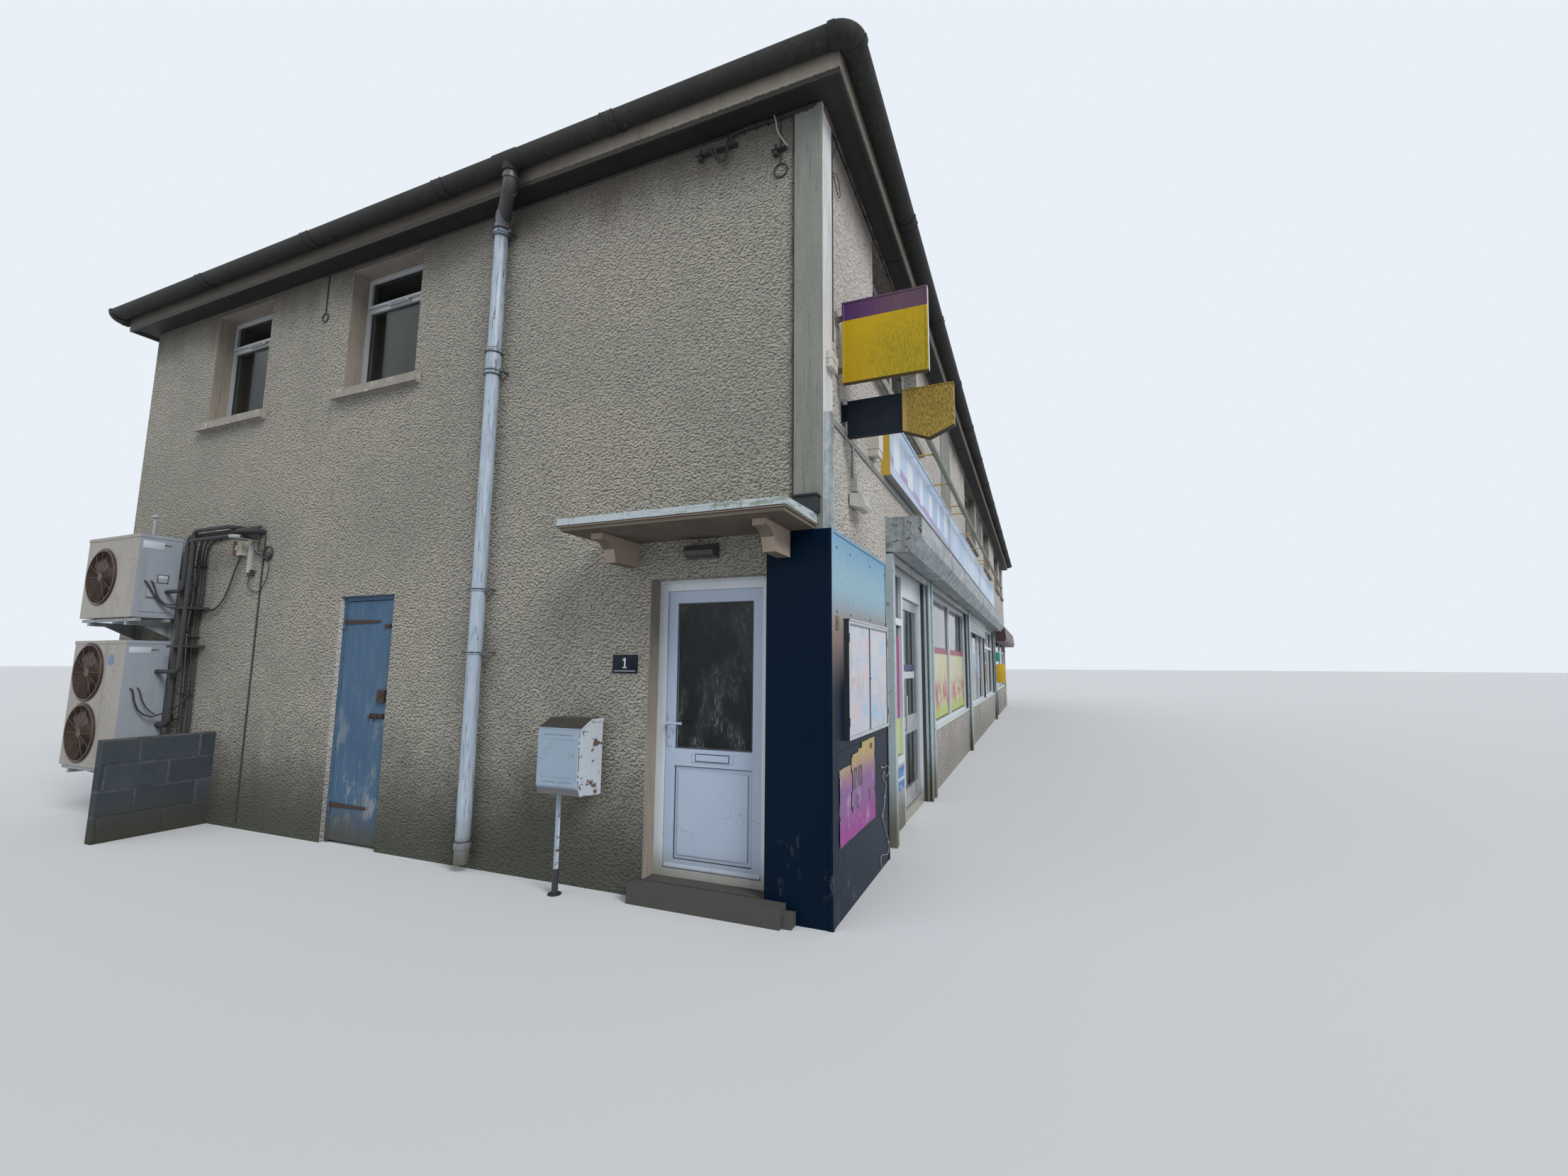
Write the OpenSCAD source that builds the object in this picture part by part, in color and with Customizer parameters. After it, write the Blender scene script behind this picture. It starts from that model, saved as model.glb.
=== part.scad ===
// Corner shop at the end of a two-storey parade: rendered walls, hipped roof,
// half-round guttering, a flat's door under a corbelled canopy at the end and a
// shop front with roller shutters along the street. Millimetres, Z up. X runs
// along the street front, Y into the building; the street corner is at low X and Y.

/* [Block] */
// Length of the street front
block_l = 23600; // [23000:100:25000]
// Depth of the end wall
block_d = 8620; // [8200:20:9600]
// Thickness of the outer walls
wall_t = 300; // [240:10:340]
// Height of the soffit above the ground
soffit_z = 5620; // [5590:10:5900]
// Height of the heads of both end doors
door_head_z = 2215; // [2180:5:2300]
// Height of the beam over the shop front
shop_head_z = 2600; // [2560:10:2650]
// Top of the ground floor slab
ground_floor_t = 100; // [60:10:110]
// Underside of the first floor
first_floor_z = 2760; // [2700:10:2850]
// Thickness of the first floor
first_floor_t = 200; // [150:10:250]
// Thickness of the top ceiling
ceiling_t = 60; // [30:10:100]

/* [Roof and eaves] */
// Pitch of the roof in degrees
roof_pitch = 32; // [25:1:38]
// Thickness of the roof covering and rafters
roof_t = 140; // [100:10:180]
// Reach of the fascia's face beyond the walls
eaves_out = 200; // [150:10:260]
// Height of the fascia
fascia_h = 200; // [160:10:230]
// Thickness of the fascia and soffit boards
board_t = 24; // [18:1:32]
// Reach of the tiles beyond the fascia
tile_over = 45; // [20:5:60]

/* [Rainwater goods] */
// Outer radius of the half-round gutter
gutter_r = 85; // [65:5:95]
// Wall of the gutter
gutter_t = 8; // [5:1:12]
// Distance between the gutter's joints
gutter_pitch = 1900; // [1500:50:2400]
// Outer radius of the downpipe
pipe_r = 56; // [38:1:60]
// Clear gap between the downpipe and the wall
pipe_gap = 26; // [20:1:40]
// Distance of the downpipe from the street corner
pipe_y = 2930; // [2700:10:3300]

/* [Upper windows] */
// Height of the window openings' foot
win_sill_z = 4290; // [4200:10:4400]
// Height of the window openings' head
win_head_z = 5560; // [5450:10:5560]
// Depth of the reveals
reveal = 160; // [120:5:170]
// Width of the frames' faces
win_bar = 60; // [45:1:75]
// Depth of the frames
win_depth = 70; // [55:1:80]
// Height of the top-hung fanlights
fanlight_h = 330; // [250:10:400]
// Width of each end window
end_win_w = 1010; // [850:10:1100]
// Width of a wide street window
front_win_w = 2250; // [2000:10:2350]
// Thickness of the concrete sills
sill_t = 110; // [70:5:130]
// Reach of the sills beyond the wall
sill_out = 70; // [40:5:90]

/* [Flat door] */
// Width of the flat's doorway
flat_w = 925; // [880:5:960]
// Distance of the doorway from the street corner
flat_y = 400; // [400:10:460]
// Face width of the door frame
flat_frame = 76; // [50:1:80]
// Thickness of the flat's door
flat_leaf_t = 60; // [44:1:66]
// Gap around the hinged leaves
leaf_gap = 8; // [6:1:10]
// Height of the step's top
step_h = 125; // [90:5:140]
// Reach of the step beyond the wall
step_out = 130; // [120:5:250]

/* [Canopy] */
// Length of the door canopy
canopy_l = 1670; // [1500:10:1750]
// Reach of the door canopy
canopy_out = 580; // [450:10:600]
// Thickness of the canopy slab
canopy_t = 60; // [45:5:80]
// Underside of the canopy slab
canopy_z = 2490; // [2480:5:2550]
// Width of a corbel
corbel_w = 90; // [70:5:120]
// Height of a corbel at the wall
corbel_h = 180; // [160:5:200]
// Radius of the hollow in a corbel's face
cove_r = 121.5; // [100:0.5:124]

/* [Store door] */
// Width of the store's doorway
store_w = 723; // [640:1:760]
// Distance of the store's doorway from the street corner
store_y = 4035; // [3990:5:4080]
// Face width of the store door's frame
store_bar = 42; // [30:1:55]
// Thickness of the boarded leaf
store_leaf_t = 40; // [32:1:50]

/* [Shop front] */
// Start of the shop front along the street
shop_x = 1850; // [1800:10:1900]
// Width of the first guide post
guide_w = 90; // [70:5:100]
// Reach of the shutter guides beyond the wall
guide_out = 65; // [50:5:80]
// Width of the door bay
door_bay_w = 1950; // [1900:10:2050]
// Width of the side light in the door bay
side_light_w = 850; // [750:10:900]
// Width of the shared guide posts
post_w = 340; // [260:10:360]
// Width of the second bay
bay2_w = 4500; // [4200:50:4600]
// Width of the third bay
bay3_w = 4100; // [3900:50:4200]
// Width of the fourth bay
bay4_w = 3300; // [3000:50:3400]
// Face width of the shop frames
shop_bar = 70; // [50:1:85]
// Depth of the shop frames
shop_depth = 80; // [60:1:90]
// Height of the stall risers
riser_h = 770; // [700:10:820]
// Drop of the third bay's curtain below the beam
curtain_drop = 390; // [300:10:700]
// Pitch of the shutter laths
lath_h = 75; // [60:1:90]

/* [Shutter boxes and signs] */
// Height of the shutter boxes
shutter_h = 340; // [280:5:350]
// Depth of the shutter boxes
shutter_d = 335; // [280:5:350]
// Height of the fascia sign's foot
sign_z = 3350; // [3250:10:3400]
// Height of the fascia sign
sign_h = 640; // [600:10:780]
// Depth of the fascia sign
sign_d = 85; // [60:5:110]
// Reach of the sign lights beyond the sign
light_out = 205; // [150:5:260]
// Radius of the sign light tube
light_r = 32; // [22:1:40]
// Side of the square projecting sign
flag_s = 620; // [500:10:680]
// Thickness of the square projecting sign
flag_t = 50; // [35:5:100]

/* [Corner cladding] */
// Height of the black cladding
panel_h = 2490; // [2470:5:2540]
// Length of the cladding along the street
panel_l = 1535; // [1400:10:1600]
// Thickness of the cladding on the street front
panel_t = 66; // [40:1:80]
// Thickness of the cladding on the end wall
panel_end_t = 20; // [12:1:30]

/* [Fittings on the end wall] */
// Width of the letter box
box_w = 362; // [340:2:420]
// Depth of the letter box
box_d = 240; // [240:5:300]
// Height of the letter box
box_h = 405; // [400:5:500]
// Underside of the letter box
box_z = 745; // [680:5:800]
// Radius of the letter box's post
box_post_r = 17; // [12:1:22]
// Width of a condenser
cond_w = 1030; // [850:10:1100]
// Depth of a condenser
cond_d = 350; // [320:5:400]
// Height of the upper condenser
cond_top_h = 870; // [800:10:900]
// Height of the lower condenser
cond_low_h = 1290; // [1200:10:1320]
// Height of the block screen wall
screen_h = 900; // [800:10:1000]
// Length of the block screen wall
screen_l = 830; // [700:10:900]

/* [Hidden] */

$fn = 48;
eps = 1;               // overlap where one solid is made of several
seat = 0.3;            // running gap of a piece that lies on its seat
// Levels
wall_top_z = soffit_z - board_t + fascia_h;
ceiling_z = win_head_z + 20;
roof_rise_edge = 45;
// Shop bays along the street: start and width of each
bay1_x = shop_x + guide_w;
post2_x = bay1_x + door_bay_w;
bay2_x = post2_x + post_w;
post3_x = bay2_x + bay2_w;
bay3_x = post3_x + guide_w * 2;
post4_x = bay3_x + bay3_w;
bay4_x = post4_x + guide_w;
unit_end_x = bay4_x + bay4_w;
far_post_w = 300;
far_x = unit_end_x + far_post_w;
far_w = block_l - wall_t - far_x;
shop_y = 40;           // face of the shop frames behind the wall's face
door_x = bay1_x + side_light_w;
door_w = door_bay_w - side_light_w - 150;
// Upper windows along the street: start and width
street_windows = [for (x = [1480, 9200, block_l - 9900, block_l - 5400]) [x, front_win_w]];
high_window = [11650, 1700];
last_window = [block_l - 2200, 1200];
// Upper windows along the end wall: start
end_windows = [4010, 6330];

// Moves what is drawn from the street corner to the middle of the block
module from_corner() {
  translate([-block_l / 2, -block_d / 2, 0]) children();
}
// A box from its lowest corner to its highest
module block(a, b) {
  translate(a) cube(b - a);
}
// Draws in Y and Z and runs along X
module along_x(x0, x1) {
  translate([x0, 0, 0]) rotate([90, 0, 90]) linear_extrude(x1 - x0) children();
}
// Draws in X and Z and runs along Y
module along_y(y0, y1) {
  translate([0, y1, 0]) rotate([90, 0, 0]) linear_extrude(y1 - y0) children();
}

// Floors

module ground_floor() {
  color("dimgray") from_corner()
    block([wall_t, wall_t, 0], [block_l - wall_t, block_d - wall_t, ground_floor_t]);
}

module upper_floors() {
  color("lightgray") from_corner() {
    block([wall_t, wall_t, first_floor_z],
      [block_l - wall_t, block_d - wall_t, first_floor_z + first_floor_t]);
    block([wall_t, wall_t, ceiling_z],
      [block_l - wall_t, block_d - wall_t, ceiling_z + ceiling_t]);
  }
}

// Walls

// The three piers beside the two doors of the end wall
module end_wall_lower() {
  color("tan") from_corner() {
    block([0, 0, 0], [wall_t, flat_y, door_head_z]);
    block([0, flat_y + flat_w, 0], [wall_t, store_y, door_head_z]);
    block([0, store_y + store_w, 0], [wall_t, block_d, door_head_z]);
  }
}

// Hole for an upper window in an end wall, from the wall's outer face inwards
module end_window_hole(x, y, w) {
  block([x - eps, y, win_sill_z], [x + wall_t + eps, y + w, win_head_z]);
}

module end_wall_upper() {
  color("tan") from_corner() difference() {
    block([0, 0, door_head_z], [wall_t, block_d, wall_top_z]);
    for (y = end_windows) end_window_hole(0, y, end_win_w);
  }
}

module far_end_wall() {
  color("tan") from_corner() difference() {
    block([block_l - wall_t, 0, 0], [block_l, block_d, wall_top_z]);
    for (y = end_windows) end_window_hole(block_l - wall_t, y, end_win_w);
  }
}

// Corner pier, piers behind the shutter posts and the stall risers between them
module front_wall_lower() {
  pier_y = shop_y + shop_depth;
  color("tan") from_corner() {
    block([wall_t, 0, 0], [shop_x, wall_t, shop_head_z]);
    block([bay1_x, shop_y, 0], [bay1_x + side_light_w - shop_bar, shop_y + shop_depth, 620]);
    for (p = [[post2_x, post_w], [post3_x, guide_w * 2], [post4_x, guide_w],
        [unit_end_x, far_post_w]])
      block([p[0], 0, 0], [p[0] + p[1], wall_t, shop_head_z]);
    for (b = [[bay2_x, bay2_w], [bay3_x, bay3_w], [bay4_x, bay4_w]])
      block([b[0], 0, 0], [b[0] + b[1], wall_t, riser_h]);
    block([far_x + 1300, 0, 0], [block_l - wall_t, wall_t, riser_h]);
  }
}

module front_wall_upper() {
  color("tan") from_corner() difference() {
    block([wall_t, 0, shop_head_z], [block_l - wall_t, wall_t, wall_top_z]);
    for (w = concat(street_windows, [last_window]))
      block([w[0], -eps, win_sill_z], [w[0] + w[1], wall_t + eps, win_head_z]);
    block([high_window[0], -eps, win_sill_z + 520],
      [high_window[0] + high_window[1], wall_t + eps, win_head_z]);
  }
}

// The yard side repeats the upper windows, with smaller windows below
rear_windows = [for (i = [0 : 4]) block_l * 0.065 + i * block_l * 0.19];
rear_low_z = 1050;
module rear_wall() {
  color("tan") from_corner() difference() {
    block([wall_t, block_d - wall_t, 0], [block_l - wall_t, block_d, wall_top_z]);
    for (x = rear_windows, z = [rear_low_z, win_sill_z])
      block([x, block_d - wall_t - eps, z],
        [x + end_win_w * 1.5, block_d + eps, z + win_head_z - win_sill_z]);
  }
}

corner_band = 200;     // width of the smooth band up the corner
// Smooth render bands at the street corner and on the party wall
module smooth_bands() {
  band = 12;
  lining = 8;
  color("darkgray") from_corner() {
    difference() {
      block([-band, -band, panel_h + eps], [corner_band, corner_band, soffit_z - seat]);
      block([0, 0, 0], [wall_t, wall_t, wall_top_z]);
    }
    block([5750, -band, sign_z + sign_h + 60], [6800, -seat, soffit_z - seat]);
    // smooth reveals of the end wall's windows and of the flat's doorway
    for (y = end_windows) {
      block([seat, y + seat, win_head_z - lining],
        [reveal - seat, y + end_win_w - seat, win_head_z - seat]);
      block([seat, y + end_win_w - lining, win_sill_z + 2 * lining],
        [reveal - seat, y + end_win_w - seat, win_head_z - lining - seat]);
    }
    block([seat, flat_y + flat_w - lining, step_h],
      [door_face - seat, flat_y + flat_w - seat, door_head_z - seat]);
  }
}

// Roof and eaves

// Hipped solid over a plan that reaches out beyond the walls, with a short upright edge
module hipped(out, z, edge, inset_up) {
  half = block_d / 2 + out;
  rise = half * tan(roof_pitch);
  top = z + edge + rise - inset_up;
  foot = z + edge - inset_up;
  intersection() {
    along_x(-out, block_l + out)
      polygon([[-out, z], [block_d + out, z], [block_d + out, foot],
        [block_d / 2, top], [-out, foot]]);
    along_y(-out - eps, block_d + out + eps)
      polygon([[-out, z], [block_l + out, z], [block_l + out, foot],
        [block_l + out - half, top], [half - out, top], [-out, foot]]);
  }
}

cap_r = 110;           // round caps along the ridge and down the hips
module hip_roof() {
  reach = eaves_out + tile_over;
  half = block_d / 2 + reach;
  rise = half * tan(roof_pitch);
  foot = wall_top_z + roof_rise_edge;
  hip_l = norm([half, half, rise]);
  color("firebrick") from_corner() {
    difference() {
      hipped(reach, wall_top_z, roof_rise_edge, 0);
      // the roof space, inside the walls and under the rafters
      intersection() {
        translate([0, 0, -roof_t / cos(roof_pitch)])
          hipped(reach, wall_top_z - 400, roof_rise_edge + 400, 0);
        block([wall_t, wall_t, wall_top_z - eps],
          [block_l - wall_t, block_d - wall_t, wall_top_z * 2]);
      }
    }
    // caps, cut off level at the eaves
    intersection() {
      union() {
        translate([half - reach - 60, block_d / 2, foot + rise - 24]) rotate([0, 90, 0])
          cylinder(r = cap_r, h = block_l + 2 * reach - 2 * half + 120);
        for (c = [[-reach, -reach, 45], [block_l + reach, -reach, 135],
            [block_l + reach, block_d + reach, 225], [-reach, block_d + reach, 315]])
          translate([c[0], c[1], foot - 28]) rotate(c[2])
            rotate([0, 90 - atan2(rise, half * sqrt(2)), 0])
              translate([0, 0, 40]) cylinder(r = cap_r - 12, h = hip_l - 75);
      }
      block([-reach, -reach, wall_top_z + 4],
        [block_l + reach, block_d + reach, wall_top_z * 2]);
    }
  }
}

// A square ring round the block, between two distances from the walls
module ring(inner, outer, z0, z1) {
  difference() {
    block([-outer, -outer, z0], [block_l + outer, block_d + outer, z1]);
    block([-inner, -inner, z0 - eps], [block_l + inner, block_d + inner, z1 + eps]);
  }
}

module eaves_boards() {
  bead = 22;
  cover = 45;
  from_wall = 24;
  color("wheat") from_corner() {
    ring(seat, eaves_out, soffit_z, soffit_z + board_t);
    ring(eaves_out - board_t, eaves_out, soffit_z - board_t, wall_top_z - seat);
    // bead in the angle behind the fascia's foot
    ring(eaves_out - board_t - bead, eaves_out - board_t + eps, soffit_z - 14, soffit_z + eps);
    // cover strips over the soffit boards' joints
    for (x = joints_along(block_l), y = [-eaves_out + board_t, block_d + from_wall])
      block([x, y, soffit_z - 7], [x + cover, y + eaves_out - board_t - from_wall, soffit_z + eps]);
    for (y = joints_along(block_d), x = [-eaves_out + board_t, block_l + from_wall])
      block([x, y, soffit_z - 7], [x + eaves_out - board_t - from_wall, y + cover, soffit_z + eps]);
  }
}

// Gutter's cross-section: half a ring, open side up
module half_round(r, t) {
  intersection() {
    difference() {
      circle(r);
      circle(r - t);
    }
    translate([-r - 1, -r - 1]) square([2 * r + 2, r + 1]);
  }
}
gutter_gap = 14;
gutter_c = eaves_out + gutter_gap + gutter_r;
gutter_z = wall_top_z - 10;
elbow_r = gutter_gap + gutter_r;

// Cuts a straight run into lengths: the positions of its joints
function joints_along(l) = let (n = max(1, round(l / gutter_pitch)))
  [for (i = [1 : n - 1]) i * l / n];

// Straight gutter of length l along X with its joint collars and brackets
module gutter_run(l) {
  rotate([90, 0, 90]) linear_extrude(l) half_round(gutter_r, gutter_t);
  for (x = joints_along(l)) {
    translate([x - 60, 0, 0]) rotate([90, 0, 90]) linear_extrude(120)
      half_round(gutter_r + 5, gutter_t + 4);
    for (e = [-60, 46]) translate([x + e, 0, 0]) rotate([90, 0, 90]) linear_extrude(14)
      half_round(gutter_r + 9, gutter_t + 8);
  }
}

// One elbow, round the fascia's corner
module gutter_elbow() {
  rotate_extrude(angle = 90) translate([elbow_r, 0]) half_round(gutter_r + 8, gutter_t + 7);
  for (a = [0, 90]) rotate(a) translate([elbow_r, 0, 0])
    rotate([90, 0, 0]) translate([0, 0, -26]) linear_extrude(52)
      intersection() {
        half_round(gutter_r + 12, gutter_t + 11);
        translate([-elbow_r + 1, -gutter_r * 2]) square([gutter_r * 4, gutter_r * 4]);
      }
}

module gutter() {
  run_l = block_l + 2 * eaves_out;
  run_d = block_d + 2 * eaves_out;
  color("dimgray") from_corner() translate([0, 0, gutter_z]) {
    // outlet over the downpipe: a wider length with its stub
    translate([-gutter_c, outlet_y - 130, 0]) rotate([90, 0, 180])
      linear_extrude(260) half_round(gutter_r + 7, gutter_t + 6);
    difference() {
      translate([-gutter_c, outlet_y, -gutter_r - 40]) cylinder(r = pipe_r + 12, h = 70);
      translate([-gutter_c, outlet_y, 0]) rotate([90, 0, 0]) translate([0, 0, -200])
        cylinder(r = gutter_r - 1, h = 400);
    }
    translate([-eaves_out, -gutter_c, 0]) gutter_run(run_l);
    translate([-eaves_out, block_d + gutter_c, 0]) gutter_run(run_l);
    translate([-gutter_c, -eaves_out, 0]) rotate(90) gutter_run(run_d);
    translate([block_l + gutter_c, -eaves_out, 0]) rotate(90) gutter_run(run_d);
    for (c = [[-eaves_out, -eaves_out, 180], [block_l + eaves_out, -eaves_out, 270],
        [block_l + eaves_out, block_d + eaves_out, 0], [-eaves_out, block_d + eaves_out, 90]])
      translate([c[0], c[1], 0]) rotate(c[2]) gutter_elbow();
  }
}

// Swan neck from the gutter's outlet sideways and back to the wall, then the pipe in
// three lengths with sockets and clips
neck_bend = 75;
neck_angle = 75;
neck_side = 300;       // sideways offset of the outlet
outlet_y = pipe_y - neck_side;
collar = 7;
// One bend of the neck: from straight down, turning out towards -X on the way up
module pipe_bend() {
  rotate([90, 0, 0]) rotate_extrude(angle = neck_angle) translate([neck_bend, 0]) circle(pipe_r);
}
// Socket around a joint: centred, along Z
module socket(h) {
  cylinder(r = pipe_r + collar, h = h, center = true);
}
module downpipe() {
  x_wall = -pipe_gap - pipe_r;
  dx = x_wall + gutter_c;
  offset_l = norm([dx, neck_side]);
  top = gutter_z - gutter_r - 40 - seat;
  slack = 3;             // ends inside a socket stay this far apart
  slant = (offset_l - 2 * neck_bend * (1 - cos(neck_angle))) / sin(neck_angle);
  z1 = top - 45;
  h2 = neck_bend * (1 - cos(neck_angle));
  z2 = z1 - neck_bend * sin(neck_angle);
  z3 = z2 - slant * cos(neck_angle);
  z4 = z3 - neck_bend * sin(neck_angle);
  color("gainsboro") from_corner() {
    // the neck, drawn in its own upright plane from the outlet to the wall
    translate([-gutter_c, outlet_y, 0]) rotate(atan2(neck_side, dx)) {
      translate([0, 0, z1 + slack]) cylinder(r = pipe_r, h = top - z1 - slack);
      translate([0, 0, z1]) socket(36);
      translate([neck_bend, 0, z1]) rotate([0, 180, 0]) pipe_bend();
      translate([h2, 0, z2]) rotate([0, 180 - neck_angle, 0]) {
        translate([0, 0, slack]) cylinder(r = pipe_r, h = slant - 2 * slack);
        socket(30);
        translate([0, 0, slant]) socket(60);
      }
      translate([offset_l - neck_bend, 0, z4]) pipe_bend();
    }
    translate([x_wall, pipe_y, 0]) {
      translate([0, 0, z4]) socket(46);
      translate([0, 0, 60]) cylinder(r = pipe_r, h = z4 - slack - 60);
      // socket with its beads, clips and the wide strap at the foot
      translate([0, 0, 4150]) socket(230);
      for (b = [-105, -60, 105]) translate([0, 0, 4150 + b])
        cylinder(r = pipe_r + collar + 5, h = 12, center = true);
      for (z = [z4 - 55, 4070, 2200]) pipe_clip(z, x_wall, 55);
      pipe_clip(1687, x_wall, 92);
      translate([0, 0, 200]) socket(50);
    }
  }
}
// Ring round the pipe with two ears, each on a spacer to the wall
module pipe_clip(z, x_wall, ear) {
  translate([0, 0, z]) {
    cylinder(r = pipe_r + collar + 3, h = 26, center = true);
    block([-6, -pipe_r - ear, -13], [6, pipe_r + ear, 13]);
    for (s = [-1, 1]) translate([0, s * (pipe_r + ear - 16), 0]) rotate([0, 90, 0])
      cylinder(r = 9, h = -x_wall - seat);
  }
}

// Upper windows

// Frame with a mullion for each light and a fanlight over each
module window_frame(w, h, lights, fan) {
  step = (w - win_bar) / lights;
  sash = 34;
  proud = 14;
  translate([0, win_depth, 0]) rotate([90, 0, 0]) linear_extrude(win_depth) difference() {
    square([w, h]);
    for (i = [0 : lights - 1]) {
      translate([i * step + win_bar, win_bar]) square([step - win_bar, h - fan - 2 * win_bar]);
      if (fan > 0) translate([i * step + win_bar, h - fan])
        square([step - win_bar, fan - win_bar]);
    }
  }
  // fanlight sashes stand proud of the frame, with a drip bar below
  if (fan > 0) for (i = [0 : lights - 1])
    translate([i * step + win_bar - sash / 2, -proud, h - fan - sash / 2]) {
      w_in = step - win_bar - sash;
      h_in = fan - win_bar - sash;
      difference() {
        cube([w_in + 2 * sash, proud + eps, h_in + 2 * sash]);
        translate([sash, -eps, sash]) cube([w_in, proud + 3 * eps, h_in]);
      }
      translate([0, -8, 0]) cube([w_in + 2 * sash, 8 + eps, 12]);
    }
}
glass_t = 24;
module window_glass(w, h) {
  translate([0, (win_depth - glass_t) / 2, 0]) cube([w, glass_t, h]);
}
// Puts a window drawn along X into an opening of an end wall, facing out
module end_place(y, fit, far) {
  if (far) translate([block_l - reveal, y + fit, win_sill_z + fit]) rotate(90) children();
  else translate([reveal, y + end_win_w - fit, win_sill_z + fit]) rotate(-90) children();
}
win_h = win_head_z - win_sill_z;
high_h = win_h - 520;
rear_w = end_win_w * 1.5;

module upper_window_frames() {
  color("white") from_corner() {
    for (w = street_windows) translate([w[0] + seat, reveal, win_sill_z + seat])
      window_frame(w[1] - 2 * seat, win_h - 2 * seat, 3, fanlight_h);
    translate([last_window[0] + seat, reveal, win_sill_z + seat])
      window_frame(last_window[1] - 2 * seat, win_h - 2 * seat, 2, fanlight_h);
    translate([high_window[0] + seat, 30, win_sill_z + 520 + seat])
      window_frame(high_window[1] - 2 * seat, high_h - 2 * seat, 3, 0);
    for (y = end_windows, far = [false, true]) end_place(y, seat, far)
      window_frame(end_win_w - 2 * seat, win_h - 2 * seat, 1, fanlight_h);
    for (x = rear_windows, z = [rear_low_z, win_sill_z])
      translate([x + rear_w - seat, block_d - reveal, z + seat]) rotate(180)
        window_frame(rear_w - 2 * seat, win_h - 2 * seat, 2, fanlight_h);
  }
}

module pane_set(w, h, lights, fan) {
  step = (w - win_bar) / lights;
  for (i = [0 : lights - 1]) {
    translate([i * step + win_bar, 0, win_bar])
      window_glass(step - win_bar, h - fan - 2 * win_bar);
    if (fan > 0) translate([i * step + win_bar, 0, h - fan])
      window_glass(step - win_bar, fan - win_bar);
  }
}

module upper_window_glass() {
  color("lightblue") from_corner() {
    for (w = street_windows) translate([w[0] + seat, reveal, win_sill_z + seat])
      pane_set(w[1] - 2 * seat, win_h - 2 * seat, 3, fanlight_h);
    translate([last_window[0] + seat, reveal, win_sill_z + seat])
      pane_set(last_window[1] - 2 * seat, win_h - 2 * seat, 2, fanlight_h);
    translate([high_window[0] + seat, 30, win_sill_z + 520 + seat])
      pane_set(high_window[1] - 2 * seat, high_h - 2 * seat, 3, 0);
    for (y = end_windows, far = [false, true]) end_place(y, seat, far)
      pane_set(end_win_w - 2 * seat, win_h - 2 * seat, 1, fanlight_h);
    for (x = rear_windows, z = [rear_low_z, win_sill_z])
      translate([x + rear_w - seat, block_d - reveal, z + seat]) rotate(180)
        pane_set(rear_w - 2 * seat, win_h - 2 * seat, 2, fanlight_h);
  }
}

// Concrete sill drawn along X, outer face towards -Y, top weathered
module sill(w) {
  ear = 90;
  throat = 12;
  translate([-ear, 0, 0]) along_x(0, w + 2 * ear)
    polygon([[-sill_out, -sill_t], [-sill_out + throat, -sill_t],
      [-sill_out + throat, -sill_t + throat], [-sill_out + 2 * throat, -sill_t + throat],
      [-sill_out + 2 * throat, -sill_t], [-seat, -sill_t], [-seat, 0], [-sill_out, -26]]);
  // bed of the sill inside the reveal, sloped up to the frame
  translate([seat, 0, 0]) along_x(0, w - 2 * seat)
    polygon([[-seat - eps, -6], [-seat - eps, 1.5], [reveal - seat, 14], [reveal - seat, seat],
      [-seat, seat], [-seat, -6]]);
}

module sills_and_step() {
  color("silver") from_corner() {
    for (w = concat(street_windows, [last_window])) translate([w[0], 0, win_sill_z]) sill(w[1]);
    for (y = end_windows) {
      translate([0, y + end_win_w, win_sill_z]) rotate(-90) sill(end_win_w);
      translate([block_l, y, win_sill_z]) rotate(90) sill(end_win_w);
    }
    for (x = rear_windows, z = [rear_low_z, win_sill_z])
      translate([x + rear_w, block_d, z]) rotate(180) sill(rear_w);
    // step before the flat's door and its threshold in the doorway
    block([-step_out, 240, 0], [-panel_end_t - seat, flat_y + flat_w + 35, step_h]);
    // what is left of the step's broken end
    along_y(174, 241) polygon([[-step_out + 30, 0], [-step_out + 34, 78], [-60, 92],
      [-panel_end_t - seat, 84], [-panel_end_t - seat, 0]]);
    block([seat, flat_y + seat, 0], [wall_t - seat, flat_y + flat_w - seat, step_h - seat]);
  }
}

// Hinges

hinge_r = 6.5;
hinge_l = 40;
hinge_play = 0.4;
// Knuckles of a hinge about the Z axis at its own origin: the leaf's share is the
// middle one and the frame's share the two outer ones; the flap lies towards +Y
// on the leaf and towards -Y on the frame, and reaches back to the face it is fixed to
module knuckles(on_leaf, flap, back) {
  for (z = on_leaf ? [0] : [-hinge_l - hinge_play, hinge_l + hinge_play]) translate([0, 0, z]) {
    cylinder(r = hinge_r, h = hinge_l, center = true, $fn = 32);
    translate([-back, on_leaf ? 0 : -flap, -hinge_l / 2]) cube([back - 3, flap, hinge_l]);
  }
}

// Flat's door

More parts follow.
